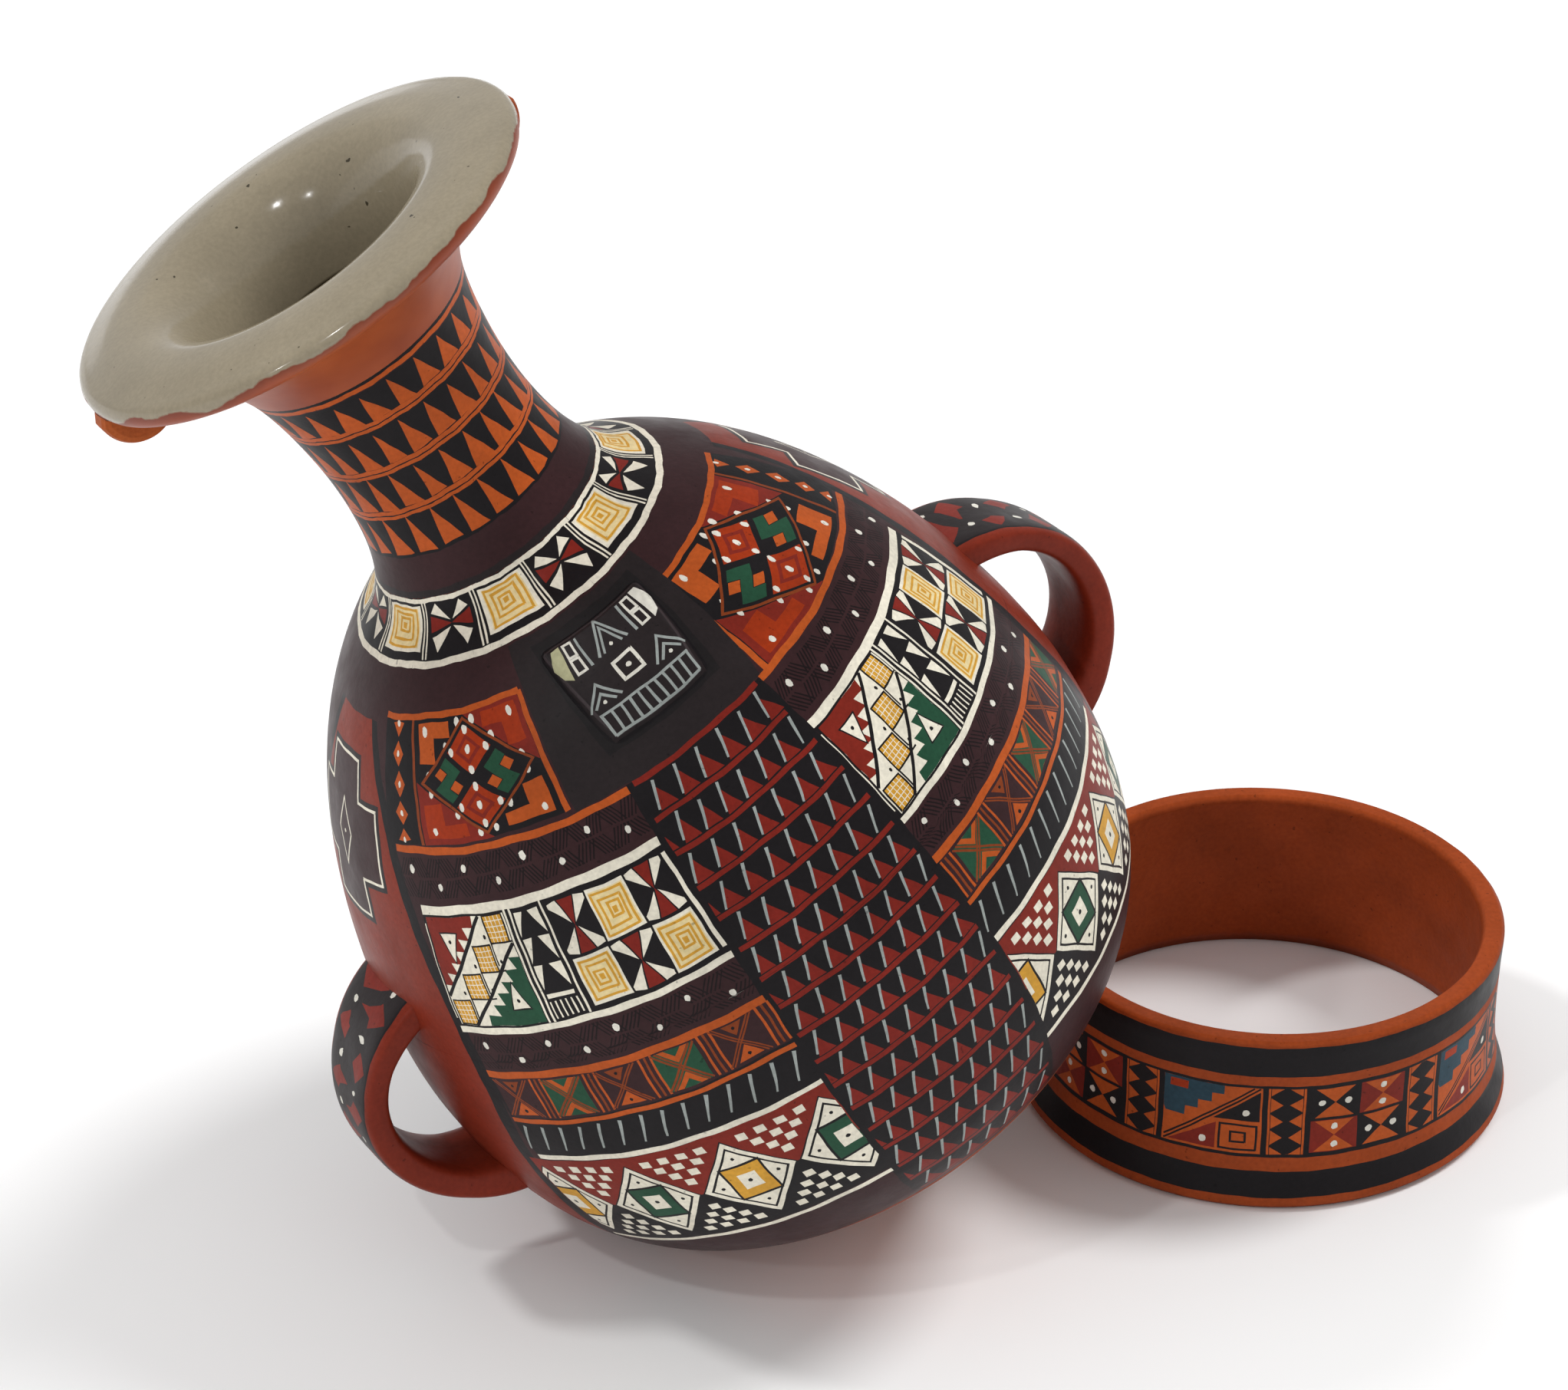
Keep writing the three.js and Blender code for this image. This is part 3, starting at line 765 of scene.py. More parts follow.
def stepped_cross(p, middle):
    """Stepped cross above a handle: dark halo, cream outline, purple field, small diamond."""
    arm = [(7.5, 153.5), (7, 162.5), (14.5, 163), (14.8, 178.5), (7.6, 178.8), (7.4, 187)]
    right = [(middle + a, h) for a, h in arm]
    left = [(middle - a, h) for a, h in arm[::-1]]
    outline = right + left
    p.line(outline, 3.4, "charcoal", closed=True)
    p.fill(outline, "purple")
    p.line(outline, 0.75, "cream", closed=True)
    diamond = [(middle - 3, 170.5), (middle, 178), (middle + 3, 170.5), (middle, 163)]
    p.line(diamond, 0.55, "cream", closed=True)
    p.dot((middle, 170.5), 0.5, "cream")


def lattice(p, low, high):
    """Central panel: rows of maroon triangles on black, with a grey stroke before each one. The
    strokes and triangles lean to the right."""
    left, right = FRONT - 15.3, FRONT + 15
    wide = 30.3
    p.fill(box(left - 1.2, low, right + 1.2, high), "black")
    top_line, rows, tall = 172.2, 16, 8.33
    for row in range(rows):
        base = top_line - (row + 1) * tall
        if base > high + 2 or base + tall < low - 2:
            continue
        per_degree = float(wall_radius(base + tall / 2)) * math.pi / 180
        count = int(round(wide * per_degree / 6.1))
        pitch = wide / count
        lean = 0.3 / per_degree
        drift = 0.25 * math.sin(row * 2.3)
        for n in range(-1, count):
            a = left + (n + 0.35 + drift) * pitch
            b = a + pitch * 0.72
            apex = a + lean * (tall - 2.6)
            if a > left - 0.1 and b < right + 0.4:
                p.fill([(a, base + 0.9), (b, base + 0.9), (apex, base + tall - 2.2)], "maroon")
            elif a < left and b > left + 0.6:
                p.fill([(left, base + 0.9), (b, base + 0.9), (left, base + tall * 0.55)], "maroon")
            wave = math.sin(row * 1.7 + n * 2.9)
            foot = (a - 0.1 + lean * wave * 0.5, base + 1.3 + 0.4 * wave)
            top = (a + lean * (tall - 1.2), base + tall - 1.1 + 0.3 * wave)
            if left < foot[0] and top[0] < right:
                p.line([top, foot], 0.8, "grey", taper=0.35)
        p.line([(left, base), (right, base)], 1.25, "maroon")
    p.line([(left, top_line), (right, top_line)], 1.4, "maroon")


def side_panels(p, upper):
    """Both side panels of the front, band by band. The bands at the seam are painted on both
    sections, and those above it or below it on one."""
    for side in (-1, 1):

        def span(height):
            """The azimuths between which a side panel lies at a height."""
            inner, outer = 16.2, float(half_width(height)) - 2.6
            if side < 0:
                return FRONT - outer, FRONT - inner
            return FRONT + inner, FRONT + outer

        # The right panel's bands lie a little lower.
        drop = 0 if side < 0 else -1.6
        if upper:
            a, b = span(186)
            if side < 0:
                framed_panel(p, a + 1.5, FRONT - 28.4, 173.8, 196.8, True)
            else:
                framed_panel(p, FRONT + 18.5, b - 1.5, 172.4, 196.8, False)
            hatched(p, *span(168), 162.4 + drop, 171.4 + drop)
            a, b = span(172)
            p.line([(a, 172.9 + drop / 2), (b, 171.6 + drop / 2)], 1.8, "orange")
        wide_band(p, *span(145), 130.6 + drop, 160.0 + drop)
        hatched(p, *span(124), 120.2 + drop, 129.2 + drop)
        if upper:
            continue
        a, b = span(111)
        p.fill(box(a, 92 + drop, b, 119 + drop), "black")
        crossed_cells(p, a + 0.5, b, 105.6 + drop, 117.6 + drop, side > 0)
        p.line([(a, 118.6 + drop), (b, 118.0 + drop)], 2.0, "orange")
        p.line([(a, 104.7 + drop), (b, 104.2 + drop)], 1.3, "orange")
        strokes = 14
        for n in range(strokes):
            x = a + 1.6 + (b - a - 2.4) * n / (strokes - 1)
            p.line([(x, 102.9 + drop), (x - 1.8, 95.4 + drop)], 0.95, "grey", taper=0.5)
        p.line([(a, 92.6 + drop), (b, 92.0 + drop)], 1.6, "cream")
        diamond_band(p, *span(75), 57, 91.4 + drop, 1.6 if side < 0 else -0.6)
        a, b = span(56)
        p.line([(a, 56.3), (b, 55.8)], 1.5, "cream")


def paint_lower(p):
    """The belly: dark ground, red flanks, the lattice in the middle and the side panels."""
    high = SEAM + 1
    p.fill(box(-271, 36.5, 91, high), "purple")
    for middle in (-180, 0):
        flank(p, middle, 38, 125)
    lattice(p, 39, high)
    side_panels(p, False)


def paint_upper(p):
    """The shoulder: what runs on from the belly, the crosses over the handles, the dark ground of
    the raised block and the ring round the foot of the neck."""
    for middle, turn in ((-180, -2.5), (0, 2.5)):
        flank(p, middle, 119, 197)
        stepped_cross(p, middle + turn)
    side_panels(p, True)
    lattice(p, SEAM - 1, 172.6)
    p.fill([(-117.2, 172.8), (-106, 172.8), (-74, 172.8), (-73.2, 172.8), (-68.5, 197.6),
            (-67.5, 203.4), (-117.2, 203.4)], "charcoal")
    # Painted shade: a darker patch round the raised block, where the shoulder lies in its shade.
    p.fill([(-106.4, 179), (-77.6, 179), (-73.4, 201.8), (-110.6, 201.8)], "hollow")
    # Ring of cells round the foot of the neck, the last of them behind.
    band(p, 204.4, 216, "black")
    cells, behind = 14, 4
    pitch = 360 / cells
    for n in range(cells):
        a = -175.5 + (n if n < cells - behind else n - cells) * pitch
        m = cell(a + 2.2, a + pitch - 2.2, 205.6, 213.6)
        if n % 2:
            wide_pinwheel(p, m)
        else:
            ochre_square(p, m)
        for shift in (-0.8, 0.8):
            p.line([(a + shift, 205), (a + shift, 214)], 0.45, "cream")
    p.line(level(204.3), 1.7, "cream")
    p.line(level(214.3), 1.1, "cream")


def paint_neck(p):
    """Four rows of orange teeth on black, a dark line under them and an orange one over them."""
    for low, high, slip in ((214, 216.4, "charcoal"), (224.6, 270.6, "black"),
                            (270.9, 272.2, "orange"), (272.2, 274, "black")):
        band(p, low, high, slip)
    teeth = 24
    for row, (base, tall) in enumerate(((225.4, 9.6), (237.4, 9.6), (249.4, 9.6), (262.0, 8.2))):
        for n in range(teeth):
            a = -269 + (n + 0.5 * (row % 2)) * 360 / teeth
            wide = 5.6 + random.uniform(-0.7, 0.7)
            tip = a - 2.6 + random.uniform(-0.8, 0.8)
            p.fill([(a - wide, base), (a + wide, base + random.uniform(-0.3, 0.3)),
                    (tip, base + tall + random.uniform(-0.8, 0.5))], "orange")
        if row:
            band(p, base - 1.2, base - 0.1, "orange")
            band(p, base - 1.5, base - 1.2, "black")
            band(p, base - 2.4, base - 1.5, "orange")


def diamond_column(p, m):
    """Column of the ring stand: black diamonds between orange teeth from both sides."""
    rows = 4
    p.fill(m(*unit()), "orange")
    p.fill(m(*box(0.06, 0, 0.94, 1)), "black")
    for n in range(rows + 1):
        v = n / rows
        for u in (0.08, 0.92):
            inner = 0.5 + (u - 0.5) * 0.2
            p.fill(m((u, max(v - 0.11, 0)), (inner, v), (u, min(v + 0.11, 1))), "orange")
    for n in range(rows):
        v = (n + 0.5) / rows
        p.fill(m((0.5, v - 0.13), (0.86, v), (0.5, v + 0.13), (0.14, v)), "black")


def stepped_cell(p, m):
    """Wide cell of the ring stand: blue steps over a diagonal, a black and a red triangle, and a
    square within a square."""
    p.fill(m(*unit()), "orange")
    p.fill(m((0, 0.5), (0, 1), (0.62, 1), (0.62, 0.86), (0.5, 0.86), (0.5, 0.72), (0.36, 0.72),
             (0.36, 0.58), (0.22, 0.58), (0.22, 0.44), (0.02, 0.44)), "blue")
    p.fill(m(*box(0.06, 0.84, 0.26, 0.96)), "flame")
    p.fill(m((0.52, 0.48), (0.98, 0.48), (0.98, 0.94)), "black")
    p.fill(m((0.06, 0.03), (0.55, 0.03), (0.55, 0.42)), "red")
    p.line(m((0.02, 0.02), (0.98, 0.99)), 0.5, "black")
    p.line(m((0.02, 0.08), (0.92, 0.99)), 0.5, "black")
    p.fill(m(*box(0.58, 0.03, 0.96, 0.42)), "orange")
    for half in (0.18, 0.07):
        square = box(0.77 - half, 0.23 - half, 0.77 + half, 0.23 + half)
        p.line(m(*square), 0.6, "black", closed=True)
    p.dot(m((0.84, 0.6))[0], 0.95, "white")
    p.dot(m((0.42, 0.14))[0], 0.95, "white")


def hourglass_cell(p, m, dark):
    """Small cell of the ring stand: two orange triangles tip to tip, with a dot on either side of
    the tips, or in each triangle."""
    p.fill(m(*unit()), "black" if dark else "red")
    p.fill(m((0.08, 0.02), (0.92, 0.02), (0.5, 0.5)), "orange")
    p.fill(m((0.08, 0.98), (0.92, 0.98), (0.5, 0.5)), "orange")
    for u in (0.22, 0.78):
        p.dot(m((u, 0.5) if dark else (0.5, u))[0], 0.95, "white")


def paint_stand(p):
    """Three black bands, the middle one with a pattern that is repeated round the ring."""
    for low, high in ((3.6, 10.2), (14.0, 35.2), (38.0, 46.9)):
        band(p, low, high, "black")
    repeats, low, high = 5, 14.9, 34.4
    half = (high - low) / 2
    for n in range(repeats):
        start = -201.5 + n * 360 / repeats
        for left in (start, start + 36):
            diamond_column(p, cell(left, left + 9, low, high))
        stepped_cell(p, cell(start + 10.4, start + 34.6, low, high))
        for column in range(2):
            for row in range(2):
                left, foot = start + 46.4 + column * 12.4, low + row * half
                m = cell(left, left + 11.8, foot + 0.3, foot + half - 0.3)
                hourglass_cell(p, m, (column + row) % 2)


def paint_handle(p):
    """Two staggered rows of red diamonds and white dots on black, along the outer face of a
    strap."""
    end, edge, row = 46, 9.5, 4.4
    p.fill(box(-end, -edge, end, edge), "charcoal")
    for n in range(7):
        x = -42 + n * 13
        for side, shift in ((-1, 0), (1, 6.5)):
            a, y = x + shift, side * row
            p.fill([(a - 3.6, y), (a, y - 3.9), (a + 3.6, y), (a, y + 3.9)], "red")
            p.dot((a + 6.4, y), 0.85, "white")
    for side in (-1, 1):
        p.line([(-end, side * edge), (end, side * edge)], 1.1, "black")


class Strap:
    """A strap handle: a rounded section carried along half an ellipse, from joint to joint. Both
    ends close to a point inside the jar's wall."""

    span = (-46, 46)
    girth = outer = 60.0
    below = 0.0
    # The outer path is half an ellipse: its reach, half its height, how far its middle is from
    # the jar's axis and up the jar, and how much higher than that the hole's middle is.
    reach, half, centre, lift, hole_lift = 35.0, 32.3, 78.3, 101.3, 1.0
    # The strap: thickness, width, the shares by which it is wider at its upper and lower joint,
    # and the share of the way to a joint where it starts to thicken.
    thick, wide, spread_top, spread_low, flare_start = 7.6, 23.0, 0.4, 0.22, 0.72
    # Below 1 the section's corners are squarer than an ellipse's.
    power = 0.42
    # Millimetres along the strap to a radian of the path, and where its middle is, in radians.
    run, start = 33.0, 0.065

    def __init__(self, side):
        self.side = side

    def rounded(self, wave):
        """A wave from -1 to 1 raised to the section's power, with its sign kept."""
        return np.sign(wave) * np.abs(wave) ** self.power

    def at(self, along, across):
        """Along is millimetres from the middle, across is millimetres round the section. The
        section lies between an outer and an inner half ellipse, and thickens at the joints."""
        turn = along / self.run + self.start
        share = np.sin(turn)
        wide = self.wide * (1 + np.where(share > 0, self.spread_top, self.spread_low) * share**2)
        angle = (across / self.girth - 0.5) * math.tau
        open_end = np.where(np.abs(along) < self.span[1] - 0.01, 1.0, 0.0)
        y = -wide / 2 * self.rounded(np.sin(angle)) * open_end
        flare = np.clip(np.abs(share) - self.flare_start, 0, 1)
        depth = 0.5 + 0.5 * self.rounded(np.cos(angle)) * open_end * (1 + flare)
        outer = np.stack([self.reach * np.cos(turn), self.half * np.sin(turn)], -1)
        inner = np.stack([
            (self.reach - self.thick) * np.cos(turn),
            self.hole_lift + (self.half - self.thick) * np.sin(turn),
        ], -1)
        spot = inner + (outer - inner) * depth[:, None]
        x = (self.centre + spot[:, 0]) * self.side
        return on_jar(np.stack([x, y * self.side, self.lift + spot[:, 1]], -1))

    def length_at(self, across):
        """Turns a distance across the painted face into one round the section."""
        share = np.clip(np.abs(np.asarray(across, float)) / (self.wide / 2), 0, 1)
        turn = np.arcsin(share ** (1 / self.power)) * np.sign(across)
        return self.girth * (turn / math.tau + 0.5)

    def per_degree(self, across):
        """Both directions are in millimetres already."""
        return np.ones_like(np.asarray(across, float))


# Materials. Noise has its scale per metre, which is 1000 over the size of a cloud in millimetres.
def feed(tree, made, inputs):
    """Gives each socket of a node, by its name or number, a value or the output that feeds it."""
    for socket, value in inputs.items():
        if hasattr(value, "is_output"):
            tree.links.new(value, made.inputs[socket])
        else:
            made.inputs[socket].default_value = value


def node(tree, kind, inputs, **settings):
    """Adds a node with its settings and what feeds it."""
    made = tree.nodes.new(kind)
    for key, value in settings.items():
        setattr(made, key, value)
    feed(tree, made, inputs)
    return made


def new_material(name):
    """An empty material, its node tree, and its shader, which is linked to the output."""
    material = bpy.data.materials.new(name)
    material.use_nodes = True
    tree = material.node_tree
    tree.nodes.clear()
    shader = node(tree, "ShaderNodeBsdfPrincipled", {})
    node(tree, "ShaderNodeOutputMaterial", {0: shader.outputs[0]})
    return material, tree, shader


def clouds(tree, scale, detail, low=0, high=1, at_low=0, at_high=1):
    """Noise in the piece's own coordinates. Its values from low to high are stretched to those
    from at_low to at_high, and held there beyond."""
    place = node(tree, "ShaderNodeTexCoord", {}).outputs["Object"]
    noise = node(tree, "ShaderNodeTexNoise",
                 {"Vector": place, "Scale": scale, "Detail": detail, "Roughness": 0.55})
    numbers = {0: noise.outputs["Fac"], 1: low, 2: high, 3: at_low, 4: at_high}
    return node(tree, "ShaderNodeMapRange", numbers).outputs[0]


def shaded(tree, colour, scale, detail, dark, low=0.3, high=0.7, light=None):
    """A colour times clouds that go from dark to light, or to as much above 1 as dark is below."""
    patches = clouds(tree, scale, detail, low, high, dark, light or 2 - dark)
    return node(tree, "ShaderNodeMix", {0: 1.0, 6: colour, 7: patches}, data_type="RGBA",
                blend_type="MULTIPLY").outputs[2]


def bumps(tree, scale, detail, strength):
    """The normal of a surface with cloudy bumps of a fifth of a millimetre."""
    height = clouds(tree, scale, detail)
    numbers = {"Height": height, "Strength": strength, "Distance": 0.0002}
    return node(tree, "ShaderNodeBump", numbers).outputs[0]


def burnished_slips(name):
    """Slips brushed on and burnished with a stone before firing: thin uneven colour with a soft
    sheen, in patches of 18 mm and grains of 1 mm, and pits 1.4 mm apart where sand pulled out,
    whose shade is painted in as dark spots."""
    material, tree, shader = new_material(name)
    slip = node(tree, "ShaderNodeAttribute", {}, attribute_name="slip").outputs
    colour = shaded(tree, slip["Color"], 55, 4, 0.86)
    colour = shaded(tree, colour, 900, 2, 0.9)
    # Dark spots: painted shade in pits where sand pulled out, which have no depth of their own.
    colour = shaded(tree, colour, 700, 1, 0.6, 0.23, 0.26, 1.0)
    sheen = clouds(tree, 130, 3, 0.3, 0.7, 0.3, 0.42)
    roughness = node(tree, "ShaderNodeMath", {0: slip["Alpha"], 1: 0.3, 2: sheen},
                     operation="MULTIPLY_ADD").outputs[0]
    feed(tree, shader, {"Base Color": colour, "Roughness": roughness,
                        "Specular IOR Level": 0.12, "Normal": bumps(tree, 420, 4, 0.3)})
    return material


def fired_clay(tree, first, second, scale):
    """Terracotta in clouds of a browner and a paler colour."""
    share = clouds(tree, scale, 4, 0.35, 0.65)
    return node(tree, "ShaderNodeMix", {0: share, 6: linear(first), 7: linear(second)},
                data_type="RGBA").outputs[2]


def bare_clay(name):
    """Bare fired terracotta: matt, slightly sandy orange with clouds of 36 mm, and sand grains
    drawn 1 mm wide so that they show."""
    material, tree, shader = new_material(name)
    colour = shaded(tree, fired_clay(tree, "#8c3e1c", "#9d4e23", 28), 1300, 2, 0.86)
    feed(tree, shader, {"Base Color": colour, "Roughness": 0.58,
                        "Specular IOR Level": 0.12, "Normal": bumps(tree, 900, 4, 0.4)})
    return material


def glazed_mouth(name):
    """Grey-green glaze poured into the mouth: glossy, finely mottled, with a few iron specks. It
    stops unevenly at the rim, with a red-brown line, and the clay below it is bare."""
    material, tree, shader = new_material(name)
    past_edge = node(tree, "ShaderNodeAttribute", {}, attribute_name="edge").outputs["Fac"]
    drift = clouds(tree, 60, 4, 0.3, 0.7, -1.6, 1.6)
    level = node(tree, "ShaderNodeMath", {0: past_edge, 1: drift}, operation="ADD").outputs[0]
    # How much glaze and brown line there is at a level past the edge, and how rough it is there.
    glazed, brown, roughness = (
        node(tree, "ShaderNodeMapRange", dict(enumerate(numbers))).outputs[0]
        for numbers in ((level, -0.15, 0.25, 0, 1), (level, -2.2, -0.2, 0, 0.7),
                        (level, -0.15, 0.25, 0.42, 0.14))
    )
    body = shaded(tree, linear("#887e6a"), 45, 3, 0.92)
    body = shaded(tree, body, 900, 3, 0.93)
    specks = clouds(tree, 420, 1, 0.77, 0.79)
    clay = fired_clay(tree, "#853719", "#a55027", 30)
    body, clay = (
        node(tree, "ShaderNodeMix", {0: share, 6: first, 7: linear(second)},
             data_type="RGBA").outputs[2]
        for share, first, second in ((specks, body, "#3a3426"), (brown, clay, "#622714"))
    )
    colour = node(tree, "ShaderNodeMix", {0: glazed, 6: clay, 7: body}, data_type="RGBA").outputs[2]
    feed(tree, shader, {"Base Color": colour, "Roughness": roughness,
                        "Specular IOR Level": 0.36, "Normal": bumps(tree, 260, 2, 0.15)})
    return material


slips = burnished_slips("burnished painted slips")
clay = bare_clay("bare fired terracotta")
glaze = glazed_mouth("grey-green poured glaze over terracotta")


def finish_piece(piece, material, body, nodes):
    """Gives a piece its material, its body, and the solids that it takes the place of."""
    piece.data.materials.append(material)
    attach(piece, body)
    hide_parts(*nodes)


def all_clay(x, y):
    """Ground of bare clay everywhere."""
    return "clay"


# The jar's sections. Their ends meet, so no joint shows where the slip runs over it.
cone_profile = Profile(
    [(0.01, 0), (FOOT_RADIUS, 0), (61.6, CONE_TOP)],
    [(55.1, CONE_TOP), (28, 9), (0.01, 9)],
    on_jar,
)
cone = turned_skin("base_cone_clay", cone_profile, [], all_clay, 3.0, 4.0)
finish_piece(cone, clay, "jar", ["base_cone"])

# How wide the red flanks are at the joint of belly and shoulder, to each side of a handle, in
# degrees, and how far the slip ran into the joint.
JOINT_FLANK, JOINT_RUN = 21.7, 6


def joint_slip(x):
    """Slip that has run into the joint: red on the flanks and purple between them."""
    return "flank" if abs(abs(x - FRONT) - 90) < JOINT_FLANK else "purple"


def belly_ground(x, y):
    """Bare clay, with slip on the joint at its top."""
    return joint_slip(x) if 0 < y - belly_profile.outer < JOINT_RUN else "clay"


def shoulder_ground(x, y):
    """Dark slip outside, and bare clay inside, with slip on the joint at its foot."""
    if y <= shoulder_profile.outer:
        return "purple"
    return joint_slip(x) if y > shoulder_profile.total - JOINT_RUN else "clay"


def neck_ground(x, y):
    """Dark slip outside and glaze inside."""
    return "purple" if y <= neck_profile.outer else "glaze"


belly_profile = section(CONE_TOP, SEAM, WALL_THICK)
belly_paint = Painting(belly_profile)
paint_lower(belly_paint)
belly = turned_skin("painted_belly", belly_profile, belly_paint.shapes, belly_ground)
finish_piece(belly, slips, "jar", ["belly"])

shoulder_profile = section(SEAM, NECK_FOOT, WALL_THICK, belly_profile.outer)
shoulder_paint = Painting(shoulder_profile)
paint_upper(shoulder_paint)
shoulder = turned_skin("painted_shoulder", shoulder_profile, shoulder_paint.shapes, shoulder_ground)
finish_piece(shoulder, slips, "jar", ["shoulder"])

neck_profile = section(NECK_FOOT, LIP_FOOT, NECK_THICK)
neck_paint = Painting(neck_profile, 0.12)
paint_neck(neck_paint)
neck = turned_skin("painted_neck", neck_profile, neck_paint.shapes, neck_ground, 3.0, 2.0)
finish_piece(neck, slips, "jar", ["neck"])


def tilt_lip(points):
    """The lip tilts backwards by 3 degrees: nothing at the neck, and in full from the rim up."""
    start, run, tilt = 273.25, 19.05, math.radians(3)
    share = np.clip((points[..., 2] - start) / run, 0, 1)
    points = points.copy()
    points[..., 2] -= points[..., 1] * math.tan(tilt) * share
    return points


# The lip: its underside, a round rim, the brim and the funnel down to the neck's bore.
RIM_MIDDLE, RIM_HEIGHT, RIM_ROUND = 55.4, 295.37, 3.05
BRIM_START, BRIM_TOP = 42, 300.55
rim_turn = np.linspace(-math.pi / 2, math.pi / 2, 14)
rim = np.stack([np.cos(rim_turn), np.sin(rim_turn)], -1) * RIM_ROUND + (RIM_MIDDLE, RIM_HEIGHT)
under = cubic(NECK_TOP, (33.2, 282.3), (42, 291.1), (RIM_MIDDLE, RIM_HEIGHT - RIM_ROUND), 30)
brim = cubic((RIM_MIDDLE, RIM_HEIGHT + RIM_ROUND), (48.8, 300.2), (46.95, BRIM_TOP),
             (BRIM_START, BRIM_TOP), 12)
funnel = cubic((BRIM_START, BRIM_TOP), (31.3, BRIM_TOP), (26.4, 288.6), (24.5, LIP_FOOT), 30)
lip_profile = Profile(
    [*under, *rim[1:], *brim[1:], *funnel[1:]], [(24.6, LIP_FOOT)], on_jar, tilt_lip
)
# The glaze ends near the outermost point of the rim.
glaze_end = lip_profile.lengths[len(under) + 6]


def past_glaze_end(y):
    """Millimetres past the line on the rim where the glaze ends."""
    return y - glaze_end


lip = turned_skin("glazed_lip", lip_profile, [], all_clay, 2.0, 1.4, past_glaze_end)
finish_piece(lip, glaze, "jar", ["flared_lip"])

# The ring stand as (radius, height): a flared foot, a waist, a straight wall and a rounded rim.
stand_outside = [
    (61.3, 0), (62.3, 0.35), (62.8, 1.4), (62.4, 3.5), (61.2, 7.3), (60.2, 10.9), (59.4, 18),
    (59.2, 26.5), (59.3, 33), (59.6, 41), (59.9, 46.3), (59.6, 47.6), (58.6, 48.1),
]
stand_inside = [
    (55.4, 48.1), (54.4, 47.7), (54, 46.5), (56.2, 20), (57.5, 1.5), (58.2, 0.2), (59.1, 0),
]


def smooth_path(points):
    """A cubic curve through the points, in five steps between each two, which passes each point
    in the direction from the one before to the one after."""
    steps = 5
    points = np.array(points, float)
    padded = np.concatenate([points[:1], points, points[-1:]])
    t = np.linspace(0, 1, steps, endpoint=False)[:, None]
    parts = []
    for a, b, c, d in zip(padded, padded[1:], padded[2:], padded[3:]):
        parts.append(0.5 * (2 * b + (c - a) * t + (2 * a - 5 * b + 4 * c - d) * t**2
                            + (3 * b - a - 3 * c + d) * t**3))
    return np.concatenate([*parts, points[-1:]])


# Heights never fall on the way up, so each has one arc length.
stand_curve = smooth_path(stand_outside)
stand_curve[:, 1] = np.maximum.accumulate(stand_curve[:, 1])
stand_profile = Profile(stand_curve, smooth_path(stand_inside), on_stand)
stand_paint = Painting(stand_profile, 0.08)
paint_stand(stand_paint)
stand = turned_skin("painted_ring_stand", stand_profile, stand_paint.shapes, all_clay, 3.0, 2.4)
finish_piece(stand, slips, "stand", ["ring_stand"])

for name, side in (("left", -1), ("right", 1)):
    strap = Strap(side)
    strap_paint = Painting(strap, 0.3)
    paint_handle(strap_paint)
    columns, rows = np.linspace(*strap.span, 62), np.linspace(0, strap.girth, 49)
    handle = skin(f"painted_handle_{name}", strap.at, columns, rows, strap_paint.shapes,
                  lambda x, y: "flank", [0, strap.girth])
    finish_piece(handle, slips, "jar", [f"handle_{name}"])


class Plaque:
    """The raised block on the shoulder: a rounded trapezoid that stands highest at its top
    edge and sinks towards its foot. Along and across are millimetres on the shoulder."""

    span = (-19, 19)
    outer = 44.0
    below = 0.0
    # The block's middle: its place along the sheet, its height on the jar, its arc length there
    # and its azimuth.
    middle, height = 22, 190.5
    start = float(shoulder_profile.length_at(height))
    azimuth = FRONT - 2
    # How far the sheet reaches along from the middle, the depth to which its edge is drawn, and
    # the millimetres across to a radian.
    reach, sunk, turn_radius = 17, 3.0, 52.0
    # Half the block's mean width, by how much it widens to its top, half its length, the width
    # of its rounded edge and its mean height.
    half_wide, widen, half_long, edge, high = 14.4, 2.4, 14.6, 3.4, 4.3

    def rise(self, x, y):
        """Height over the shoulder: a smooth step as wide as the edge, inside the outline, times
        a height that grows towards the top."""
        up = np.clip(y / 14, -1, 1)
        side = np.clip((self.half_wide + self.widen * up - np.abs(x)) / self.edge, 0, 1)
        end = np.clip((self.half_long - np.abs(y)) / self.edge, 0, 1)
        step = 1 - np.clip(np.hypot(1 - side, 1 - end), 0, 1)
        return step * step * (3 - 2 * step) * (self.high + up) - 0.5

    def at(self, x, y):
        """The shoulder's surface lifted along its slope by the rise. The outermost ring is drawn
        together to one point inside the wall, which closes the back."""
        y = y - self.middle
        last = (np.abs(x) > self.span[1] - 0.01) | (np.abs(y) > self.reach - 0.01)
        x, y = np.where(last, 0.0, x), np.where(last, 0.0, y)
        length = np.clip(self.start + y, 1, shoulder_profile.outer - 0.5)
        height = np.interp(length, shoulder_profile.lengths, shoulder_profile.points[:, 1])
        angle = math.radians(self.azimuth) + x / self.turn_radius
        slope = np.arctan2(wall_radius(height - 1) - wall_radius(height + 1), 2)
        lift = np.where(last, -self.sunk, self.rise(x, y))
        radius = wall_radius(height) * FACET + lift * np.cos(slope)
        height = height + lift * np.sin(slope)
        return on_jar(np.stack([radius * np.cos(angle), radius * np.sin(angle), height], -1))

    def length_at(self, y):
        """Turns a distance from the middle into one along the sheet."""
        return np.asarray(y, float) + self.middle

    def per_degree(self, y):
        """Both directions are in millimetres already."""
        return np.ones_like(np.asarray(y, float))


